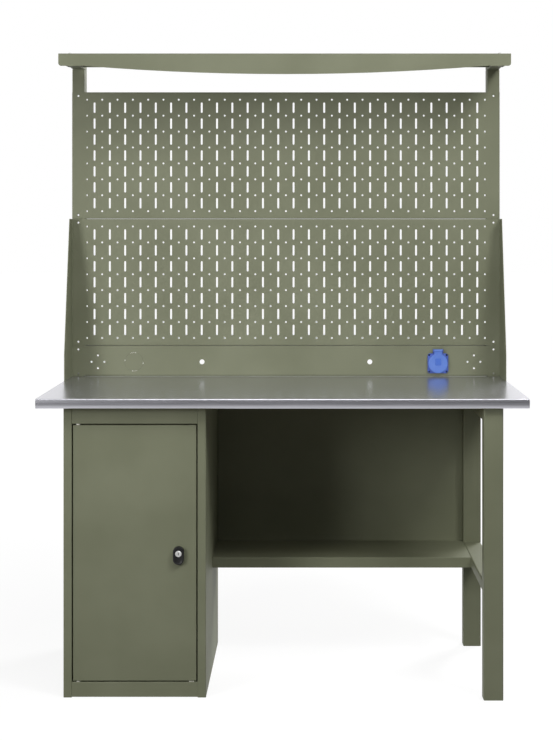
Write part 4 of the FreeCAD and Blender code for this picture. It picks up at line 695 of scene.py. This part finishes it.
def perforated_sheet_tree():
    """Nodes that punch slots and dots on two grids into a flat outline and thicken the sheet."""
    tree, given = node_group(
        "perforated_sheet",
        {"Outline": "Geometry", "Column pitch": "Float", "Row pitch": "Float",
         "Slot width": "Float", "Slot length": "Float", "Dot diameter": "Float",
         "Thickness": "Float", "Slot columns": "Int", "Slot rows": "Int", "Finish": "Material"},
        "Sheet")
    edge = add(tree, "GeometryNodeMeshToCurve", links={"Mesh": given["Outline"]})
    curves = [edge.outputs["Curve"]]
    slot_box = add(tree, "GeometryNodeCurvePrimitiveQuadrilateral",
                   links={"Width": given["Slot width"], "Height": given["Slot length"]},
                   mode="RECTANGLE")
    slot_end = add(tree, "ShaderNodeMath", {1: SLOT_END_SHARE}, {0: given["Slot width"]},
                   operation="MULTIPLY")
    slot_curve = add(tree, "GeometryNodeFilletCurve", {"Count": SLOT_END_STEPS},
                     {"Curve": slot_box.outputs["Curve"], "Radius": slot_end.outputs["Value"]},
                     mode="POLY")
    dot_radius = add(tree, "ShaderNodeMath", {1: 0.5}, {0: given["Dot diameter"]},
                     operation="MULTIPLY")
    dot_curve = add(tree, "GeometryNodeCurvePrimitiveCircle", {"Resolution": DOT_STEPS},
                    {"Radius": dot_radius.outputs["Value"]}, mode="RADIUS")
    # The dots stand between the slots and past them, so they have one more column and row.
    for curve, more in ((slot_curve, 0.0), (dot_curve, 1.0)):
        counts, spans = [], []
        for count, pitch in (("Slot columns", "Column pitch"), ("Slot rows", "Row pitch")):
            holes = add(tree, "ShaderNodeMath", {1: more}, {0: given[count]}, operation="ADD")
            steps = add(tree, "ShaderNodeMath", {1: 1.0}, {0: holes.outputs["Value"]},
                        operation="SUBTRACT")
            span = add(tree, "ShaderNodeMath",
                       links={0: steps.outputs["Value"], 1: given[pitch]}, operation="MULTIPLY")
            counts.append(holes.outputs["Value"])
            spans.append(span.outputs["Value"])
        grid = add(tree, "GeometryNodeMeshGrid",
                   links={"Size X": spans[0], "Size Y": spans[1],
                          "Vertices X": counts[0], "Vertices Y": counts[1]})
        placed = add(tree, "GeometryNodeInstanceOnPoints",
                     links={"Points": grid.outputs["Mesh"], "Instance": curve.outputs["Curve"]})
        copies = add(tree, "GeometryNodeRealizeInstances",
                     links={"Geometry": placed.outputs["Instances"]})
        curves.append(copies.outputs["Geometry"])
    joined = add(tree, "GeometryNodeJoinGeometry")
    for curve in curves:
        connect(tree, joined, {"Geometry": curve})
    filled = add(tree, "GeometryNodeFillCurve", links={"Curve": joined.outputs["Geometry"]})
    raised = add(tree, "GeometryNodeExtrudeMesh", {"Individual": False},
                 {"Mesh": filled.outputs["Mesh"], "Offset Scale": given["Thickness"]})
    back = add(tree, "GeometryNodeFlipFaces", links={"Mesh": filled.outputs["Mesh"]})
    sheet = add(tree, "GeometryNodeJoinGeometry")
    for half in (raised, back):
        connect(tree, sheet, {"Geometry": half.outputs["Mesh"]})
    merged = add(tree, "GeometryNodeMergeByDistance", {"Distance": MERGE_MM * MM},
                 {"Geometry": sheet.outputs["Geometry"]})
    end_group(tree, merged.outputs["Geometry"], given["Finish"], "Sheet")
    return tree


def loops_mesh(name, loops):
    """A flat mesh of closed edge loops, as the outline and single holes of a sheet."""
    shape = bmesh.new()
    for loop in loops:
        points = [shape.verts.new((u, v, 0)) for u, v in loop]
        for index in range(len(points)):
            shape.edges.new((points[index - 1], points[index]))
    mesh = bpy.data.meshes.new(name)
    shape.to_mesh(mesh)
    shape.free()
    return mesh


def fold_outline(edge_z, inward, front_y, rear_y):
    """Side outline of an edge that is folded back: the land on the front, the bend, the flange."""
    sheet = PANEL_SHEET_MM * MM
    bend = PANEL_BEND_MM * MM
    land_z = edge_z + inward * FOLD_LAND_MM * MM
    centre_y = front_y + sheet + bend
    centre_z = edge_z + inward * (sheet + bend)
    turn_to = 270 if inward > 0 else 90
    outer = arc(centre_y, centre_z, sheet + bend, 180, turn_to, FOLD_ARC_STEPS)
    inner = arc(centre_y, centre_z, bend, turn_to, 180, FOLD_ARC_STEPS)
    flange_end = [(rear_y, edge_z), (rear_y, edge_z + inward * sheet)]
    return [(front_y, land_z)] + outer + flange_end + inner + [(front_y + sheet, land_z)]


def folded_outline(half_width, half_fold, half_height):
    """Front outline of a panel's flat part, cut back where its edges fold between the posts."""
    land = half_height - FOLD_LAND_MM * MM
    return [(-half_width, -half_height), (-half_fold, -half_height), (-half_fold, -land),
            (half_fold, -land), (half_fold, -half_height), (half_width, -half_height),
            (half_width, half_height), (half_fold, half_height), (half_fold, land),
            (-half_fold, land), (-half_fold, half_height), (-half_width, half_height)]


def upright_slot(u, v, radius, extra):
    """A fixing hole, drawn out upright where the panel hangs in slots."""
    return (arc(u, v + extra / 2, radius, 0, 180, FIXING_STEPS)
            + arc(u, v - extra / 2, radius, 180, 360, FIXING_STEPS))


perforate = perforated_sheet_tree()


def perforated_panel(node, fixing_extra_mm):
    """Remakes a perforated CAD panel: the punched flat sheet and its two folded edges."""
    low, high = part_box(node)
    middle = (low + high) / 2
    half_width = (high.x - low.x) / 2
    half_height = (high.z - low.z) / 2
    post_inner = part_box("right_post")[0].x
    half_fold = post_inner - FOLD_CLEAR_OF_POST_MM * MM
    loops = [folded_outline(half_width, half_fold, half_height)]
    for u in (-half_width + FIXING_INSET_MM * MM, half_width - FIXING_INSET_MM * MM):
        for v in (-half_height + FIXING_EDGE_MM * MM, half_height - FIXING_EDGE_MM * MM):
            loops.append(upright_slot(u, v, FIXING_HOLE_MM * MM / 2, fixing_extra_mm * MM))
    sizes = {"Column pitch": PEG_PITCH_MM * MM, "Row pitch": PEG_ROW_MM * MM,
             "Slot width": SLOT_WIDTH_MM * MM, "Slot length": SLOT_LENGTH_MM * MM,
             "Dot diameter": DOT_MM * MM, "Thickness": PANEL_SHEET_MM * MM,
             "Slot columns": SLOT_COLUMNS, "Slot rows": SLOT_ROWS, "Finish": olive_coat}
    shape = baked(node + "_flat", loops_mesh(node + "_loops", loops), perforate, sizes)
    upright = (Matrix.Translation((middle.x, low.y + PANEL_SHEET_MM * MM, middle.z))
               @ Matrix.Rotation(math.pi / 2, 4, "X"))
    shape.transform(upright)
    for edge_z, inward in ((low.z, 1), (high.z, -1)):
        fold = fold_outline(edge_z, inward, low.y, high.y)
        prism(shape, fold, -half_fold, half_fold, across_bench)
    panel = piece("punched_" + node, mesh_of(shape, "punched_" + node), olive_coat,
                  "bench")
    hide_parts(node)


perforated_panel("lower_pegboard", fixing_extra_mm=0.0)
perforated_panel("upper_pegboard", fixing_extra_mm=FIXING_SLOT_EXTRA_MM)


# Service panel: the plain sheet under the perforated ones, with bolt rings, two cable holes and a
# knockout; a narrow hem under its fold stops just short of the worktop. A powder film, coloured
# as painted shade, bridges most of the fine cut round the knockout; light shows only where it's
# open.
HEM_CLEARANCE_MM = 0.3
KNOCKOUT_MM = 60.0
KNOCKOUT_DROP_MM = 4.0
FILM_WIDTH_MM = 1.0
FILM_FRONT_MM = 1.1
FILM_REAR_MM = 1.45
FILM_STRETCHES = ((0, 68), (115, 158), (178, 248), (290, 338))
FILM_STEPS = 16
# The film's dark olive is painted shade, standing for the shadow inside the cut.
FILM_PAINTED_SHADE_HEX = "#22241b"
FILM_PAINTED_SHADE_PALE_HEX = "#2a2c22"


def panel_hem():
    """The strip that hangs from the panel's lower fold, between the posts."""
    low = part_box("service_panel")[0]
    half_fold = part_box("right_post")[0].x - FOLD_CLEAR_OF_POST_MM * MM
    front = low.y + (PANEL_SHEET_MM + PANEL_BEND_MM) * MM
    rear = front + PANEL_SHEET_MM * MM
    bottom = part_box("worktop_cover")[1].z + HEM_CLEARANCE_MM * MM
    top = low.z + PANEL_SHEET_MM * MM / 2
    shape = bmesh.new()
    prism(shape, [(front, bottom), (rear, bottom), (rear, top), (front, top)],
          -half_fold, half_fold, across_bench)
    return mesh_of(shape, "service_panel_hem")


def from_front(x, z, y):
    """Lays an outline in the front view, with its run along Y."""
    return (x, y, z)


def knockout_film():
    """Stretches of film at the back of the knockout's cut, which mirrors the socket's place."""
    low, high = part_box("service_panel")
    socket_low, socket_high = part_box("socket_base")
    middle_x = -(socket_low.x + socket_high.x) / 2
    middle_z = (low.z + high.z) / 2 - KNOCKOUT_DROP_MM * MM
    outer = (KNOCKOUT_MM + FILM_WIDTH_MM) * MM / 2
    inner = (KNOCKOUT_MM - FILM_WIDTH_MM) * MM / 2
    shape = bmesh.new()
    for first, last in FILM_STRETCHES:
        stretch = (arc(middle_x, middle_z, outer, first, last, FILM_STEPS)
                   + arc(middle_x, middle_z, inner, last, first, FILM_STEPS))
        prism(shape, stretch, low.y + FILM_FRONT_MM * MM, low.y + FILM_REAR_MM * MM, from_front)
    return mesh_of(shape, "knockout_film")


dress(olive_coat, "service_panel")
piece("service_panel_hem", panel_hem(), olive_coat, "bench")
# The film wears a dark olive coat: painted shade for the shadow in the cut.
painted_shade_film_coat = powder_coat("painted_shade_powder_film", FILM_PAINTED_SHADE_HEX, FILM_PAINTED_SHADE_PALE_HEX)
piece("knockout_film", knockout_film(), painted_shade_film_coat, "bench")


# Panel socket: a flush socket with a square flange and a round lid on a sprung hinge.
# Moulded blue plastic; the lid is a little paler, with a raised band and a thumb boss.
FLANGE_HEX = "#3f57a6"
FLANGE_LIGHT_HEX = "#4a63b4"
LID_HEX = "#5172bf"
LID_LIGHT_HEX = "#5b7cc5"
BOSS_HEX = "#4167bc"
BOSS_LIGHT_HEX = "#486dc1"
BOX_HEX = "#6f7173"
BOX_LIGHT_HEX = "#7d7f81"
BLACK_ZINC_HEX = "#222a3d"
BLACK_ZINC_LIGHT_HEX = "#2d3850"
LID_THICKNESS_MM = 6.0
LID_CLEARANCE_MM = 0.3
LID_EDGE_MM = 1.5
LID_EDGE_STEPS = 6
LID_STEPS = 72
BAND_WIDTH_MM = 27.0
BAND_RISE_MM = 0.8
BAND_INSET_MM = 0.6
BAND_STEPS = 16
BOSS_WIDTH_MM = 19.0
BOSS_HEIGHT_MM = 23.0
BOSS_ABOVE_MIDDLE_MM = 5.0
BOSS_PROUD_MM = 2.0
BOSS_CORNER_MM = 3.0
BOSS_CORNER_STEPS = 6
BOSS_EDGE_MM = 0.7
BOSS_EDGE_FROM = 20
BOSS_EDGE_STEPS = 4
KNUCKLE_HALF_MM = 12.5
BARREL_MM = 9.0
TAB_ROOT_SHARE = 0.97
TAB_STEPS = 10
PIN_BORE_MM = 3.1
SPRING_ROOM_MM = 6.6
SPRING_HALF_MM = 4.3
SOCKET_HEAD_MM = 2.5
SOCKET_SHANK_MM = 3.5


def turned(shape, profile, centre, steps):
    """Adds a round piece about an axis along Y from (radius, y) pairs that end on the axis."""
    rings = [round_ring(shape, centre, radius, y, steps) for radius, y in profile[1:-1]]
    join_rings(shape, rings)
    for (_, y), ring in ((profile[0], rings[0]), (profile[-1], rings[-1])):
        close_ring(shape, ring, shape.verts.new((centre.x, y, centre.z)))


def tube(shape, centre_y, centre_z, outer, inner, low_x, high_x):
    """Adds a short tube across the bench."""
    rings = []
    for radius, x in ((inner, low_x), (outer, low_x), (outer, high_x), (inner, high_x),
                      (inner, low_x)):
        around = arc(centre_y, centre_z, radius, 0, 360, LID_STEPS)[:-1]
        rings.append([shape.verts.new((x, y, z)) for y, z in around])
    join_rings(shape, rings)


def moulded_lid():
    """The lid: a disc with a rounded edge, its raised band, the hinge tab and three knuckles."""
    low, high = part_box("socket_lid")
    radius = (high.x - low.x) / 2
    middle = Vector(((low.x + high.x) / 2, 0, low.z + radius))
    rear = high.y - LID_CLEARANCE_MM * MM
    front = rear - LID_THICKNESS_MM * MM
    edge = LID_EDGE_MM * MM
    shape = bmesh.new()
    rim = arc(radius - edge, front + edge, edge, 270, 360, LID_EDGE_STEPS)
    turned(shape, [(0, front)] + rim + [(radius, rear), (0, rear)], middle, LID_STEPS)

    half_band = BAND_WIDTH_MM * MM / 2
    reach = radius - BAND_INSET_MM * MM
    end = math.degrees(math.acos(half_band / reach))
    band = (arc(middle.x, middle.z, reach, end, 180 - end, BAND_STEPS)
            + arc(middle.x, middle.z, reach, 180 + end, 360 - end, BAND_STEPS))
    prism(shape, band, front - BAND_RISE_MM * MM, front + edge, from_front)

    barrel = BARREL_MM * MM / 2
    hinge_y = low.y + barrel
    hinge_z = high.z - barrel
    root = TAB_ROOT_SHARE * barrel
    tab_front = 180 + math.degrees(math.acos((hinge_y - front) / root))
    tab_rear = 360 - math.degrees(math.acos((rear - hinge_y) / root))
    low_z = middle.z + radius / 2
    tab = ([(rear, low_z), (front, low_z)]
           + arc(hinge_y, hinge_z, root, tab_front, tab_rear, TAB_STEPS))
    half = KNUCKLE_HALF_MM * MM
    room = SPRING_HALF_MM * MM
    prism(shape, tab, middle.x - half, middle.x + half, across_bench)
    for low_x, high_x, bore in ((-half, -room, PIN_BORE_MM), (-room, room, SPRING_ROOM_MM),
                                (room, half, PIN_BORE_MM)):
        tube(shape, hinge_y, hinge_z, barrel, bore * MM / 2, middle.x + low_x, middle.x + high_x)
    return mesh_of(shape, "moulded_lid")


def lid_boss():
    """The thumb boss: a rounded block on the lid's face with a softened front edge."""
    low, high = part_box("socket_lid")
    middle_x = (low.x + high.x) / 2
    middle_z = low.z + (high.x - low.x) / 2 + BOSS_ABOVE_MIDDLE_MM * MM
    front = high.y - (LID_CLEARANCE_MM + LID_THICKNESS_MM) * MM
    edge = BOSS_EDGE_MM * MM
    shape = bmesh.new()

    def outline(inset, y):
        half_x = BOSS_WIDTH_MM * MM / 2 - inset
        half_z = BOSS_HEIGHT_MM * MM / 2 - inset
        radius = BOSS_CORNER_MM * MM - inset
        points = []
        for side_x, side_z, first in ((1, 1, 0), (-1, 1, 90), (-1, -1, 180), (1, -1, 270)):
            points += arc(middle_x + side_x * (half_x - radius),
                          middle_z + side_z * (half_z - radius),
                          radius, first, first + 90, BOSS_CORNER_STEPS)
        return [shape.verts.new((x, y, z)) for x, z in points]

    face = front - BOSS_PROUD_MM * MM
    softened = arc(0, 0, edge, BOSS_EDGE_FROM, 90, BOSS_EDGE_STEPS)
    rings = [outline(0, front + edge), outline(0, face + edge)]
    rings += [outline(edge - u, face + edge - v) for u, v in softened]
    join_rings(shape, rings)
    shape.faces.new(rings[0])
    shape.faces.new(rings[-1])
    return mesh_of(shape, "lid_boss")


flange_plastic = moulded_plastic("blue_flange_plastic", FLANGE_HEX, FLANGE_LIGHT_HEX,
                                 roughness=0.4, shine=0.5)
lid_plastic = moulded_plastic("blue_lid_plastic", LID_HEX, LID_LIGHT_HEX,
                              roughness=0.4, shine=0.5)
box_plastic = moulded_plastic("grey_box_plastic", BOX_HEX, BOX_LIGHT_HEX,
                              roughness=0.55, shine=0.5)
boss_plastic = moulded_plastic("blue_boss_plastic", BOSS_HEX, BOSS_LIGHT_HEX,
                               roughness=0.4, shine=0.5)
dress(flange_plastic, "socket_base")
dress(box_plastic, "socket_box", "socket_insert")
dress(zinc, "lid_pin", "lid_spring")
lid = piece("moulded_lid", moulded_lid(), lid_plastic, "lid")
piece("lid_boss", lid_boss(), boss_plastic, "lid")
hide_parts("socket_lid")
black_zinc = plated_steel("black_zinc_plated_steel", BLACK_ZINC_HEX, BLACK_ZINC_LIGHT_HEX)
recessed_screws("socket_screws", SOCKET_HEAD_MM, SOCKET_SHANK_MM, axis=1,
                side_of=lambda seat: -1.0, finish=black_zinc)


# Canopy: a shallow folded hood on two tube arms, its front edge bellied down along a shallow arc.
# Olive coated sheet, screwed down on the arms from above with zinc plated pan head screws.
CANOPY_HEAD_MM = 3.0
CANOPY_SHANK_MM = 5.0

dress(olive_coat, "canopy_hood", "canopy_left_end", "canopy_right_end", "left_canopy_arm",
      "right_canopy_arm")
recessed_screws("canopy_screws", CANOPY_HEAD_MM, CANOPY_SHANK_MM, axis=2,
                side_of=lambda seat: 1.0, finish=zinc)
bpy.data.objects.remove(screw_heads)


# Studio: a pale floor without a horizon; soft lamps low at the left, high at the right, in front
# and behind. The floor whitens with distance and takes a faint shadow; to polished metal, floor
# and surroundings fade towards the dim front of the room.
FLOOR_SPAN = 80.0
FLOOR_HEX = "#7c7c7c"
FLOOR_GLOW = 0.86
FLOOR_NEAR = 1.0
FLOOR_FAR = 4.0
FADE_FROM_Y = -0.5
FADE_TO_Y = -3.5
FRONT_FLOOR = 0.12
FRONT_WALL = 0.03
AMBIENT = 0.05
AROUND_HEX = "#ffffff"
SOFTBOXES = (  # name, place, size and watts of each lamp
    ("left_softbox", Vector((-2.4, -2.7, 1.5)), (1.2, 1.2), 64.0),
    ("right_softbox", Vector((2.0, -2.05, 3.5)), (1.2, 1.2), 72.0),
    ("front_softbox", Vector((0.0, -1.7, 2.2)), (2.0, 1.0), 17.5),
    ("rear_softbox", Vector((2.4, 3.0, 2.4)), (1.6, 1.6), 120.0))
LAMPS_AIM = Vector((0.0, 0.1, 1.1))
CAMERA_PLACE = (0.0721, -4.555, 1.338)
CAMERA_LENS = 72.2
CAMERA_REACH = 200.0
FRAME_WIDTH_PX = 553
FRAME_HEIGHT_PX = 741
AXIS_X_PX = 308.0
AXIS_Y_PX = 230.0


def seen_directly(tree, fade):
    """One where the eye or a glass looks at the surroundings, faded for a mirror, else zero."""
    path = add(tree, "ShaderNodeLightPath").outputs
    mirrored = add(tree, "ShaderNodeMath", links={0: path["Is Glossy Ray"], 1: fade},
                   operation="MULTIPLY")
    plain = add(tree, "ShaderNodeMath",
                links={0: path["Is Camera Ray"], 1: path["Is Transmission Ray"]},
                operation="MAXIMUM")
    return add(tree, "ShaderNodeMath",
               links={0: plain.outputs["Value"], 1: mirrored.outputs["Value"]},
               operation="MAXIMUM").outputs["Value"]


def studio_floor():
    """A matt floor that glows to the eye, just under white near the bench and white far off."""
    material = bpy.data.materials.new("pale_studio_floor")
    material.use_nodes = True
    tree = material.node_tree
    tree.nodes.clear()
    matt = add(tree, "ShaderNodeBsdfDiffuse", {"Color": linear(FLOOR_HEX)})
    place = add(tree, "ShaderNodeTexCoord").outputs["Object"]
    depth = add(tree, "ShaderNodeSeparateXYZ", links={"Vector": place}).outputs["Y"]
    fade = add(tree, "ShaderNodeMapRange",
               {"From Min": FADE_TO_Y, "From Max": FADE_FROM_Y,
                "To Min": FRONT_FLOOR, "To Max": 1.0},
               {"Value": depth}).outputs["Result"]
    away = add(tree, "ShaderNodeVectorMath", links={0: place}, operation="LENGTH").outputs["Value"]
    white = add(tree, "ShaderNodeMapRange",
                {"From Min": FLOOR_NEAR, "From Max": FLOOR_FAR,
                 "To Min": FLOOR_GLOW, "To Max": 1.0},
                {"Value": away}).outputs["Result"]
    glow = add(tree, "ShaderNodeMath", links={0: seen_directly(tree, fade), 1: white},
               operation="MULTIPLY")
    shine = add(tree, "ShaderNodeEmission", links={"Strength": glow.outputs["Value"]})
    both = add(tree, "ShaderNodeAddShader",
               links={0: matt.outputs["BSDF"], 1: shine.outputs["Emission"]})
    add(tree, "ShaderNodeOutputMaterial", links={"Surface": both.outputs["Shader"]})
    shape = bmesh.new()
    bmesh.ops.create_grid(shape, x_segments=1, y_segments=1, size=FLOOR_SPAN / 2)
    mesh = bpy.data.meshes.new("studio_floor")
    shape.to_mesh(mesh)
    shape.free()
    mesh.materials.append(material)
    floor = bpy.data.objects.new("studio_floor", mesh)
    bpy.context.scene.collection.objects.link(floor)


def studio_light():
    """White surroundings with little light of their own, and the soft lamps."""
    scene = bpy.context.scene
    world = bpy.data.worlds.new("white_surroundings")
    world.use_nodes = True
    scene.world = world
    tree = world.node_tree
    tree.nodes.clear()
    way = add(tree, "ShaderNodeTexCoord").outputs["Generated"]
    depth = add(tree, "ShaderNodeSeparateXYZ", links={"Vector": way}).outputs["Y"]
    fade = add(tree, "ShaderNodeMapRange",
               {"From Min": -1.0, "From Max": 0.0, "To Min": FRONT_WALL, "To Max": 1.0},
               {"Value": depth}).outputs["Result"]
    level = add(tree, "ShaderNodeMapRange", {"To Min": AMBIENT, "To Max": 1.0},
                {"Value": seen_directly(tree, fade)})
    around = add(tree, "ShaderNodeBackground", {"Color": linear(AROUND_HEX)},
                 {"Strength": level.outputs["Result"]})
    add(tree, "ShaderNodeOutputWorld", links={"Surface": around.outputs["Background"]})
    for name, place, size, watts in SOFTBOXES:
        lamp = bpy.data.lights.new(name, "AREA")
        lamp.shape = "ELLIPSE"
        lamp.size, lamp.size_y = size
        lamp.energy = watts
        holder = bpy.data.objects.new(name, lamp)
        holder.location = place
        holder.rotation_euler = (LAMPS_AIM - place).to_track_quat("-Z", "Y").to_euler()
        scene.collection.objects.link(holder)


def photo_camera():
    """A level camera whose axis meets the frame off its middle."""
    scene = bpy.context.scene
    lens = bpy.data.cameras.new("photo_camera")
    lens.lens = CAMERA_LENS
    lens.shift_x = (FRAME_WIDTH_PX / 2 - AXIS_X_PX) / FRAME_HEIGHT_PX
    lens.shift_y = (AXIS_Y_PX - FRAME_HEIGHT_PX / 2) / FRAME_HEIGHT_PX
    lens.clip_end = CAMERA_REACH
    camera = bpy.data.objects.new("photo_camera", lens)
    camera.location = CAMERA_PLACE
    camera.rotation_euler = (math.pi / 2, 0, 0)
    scene.collection.objects.link(camera)
    scene.camera = camera
    scene.view_settings.view_transform = "Standard"


studio_floor()
studio_light()
photo_camera()
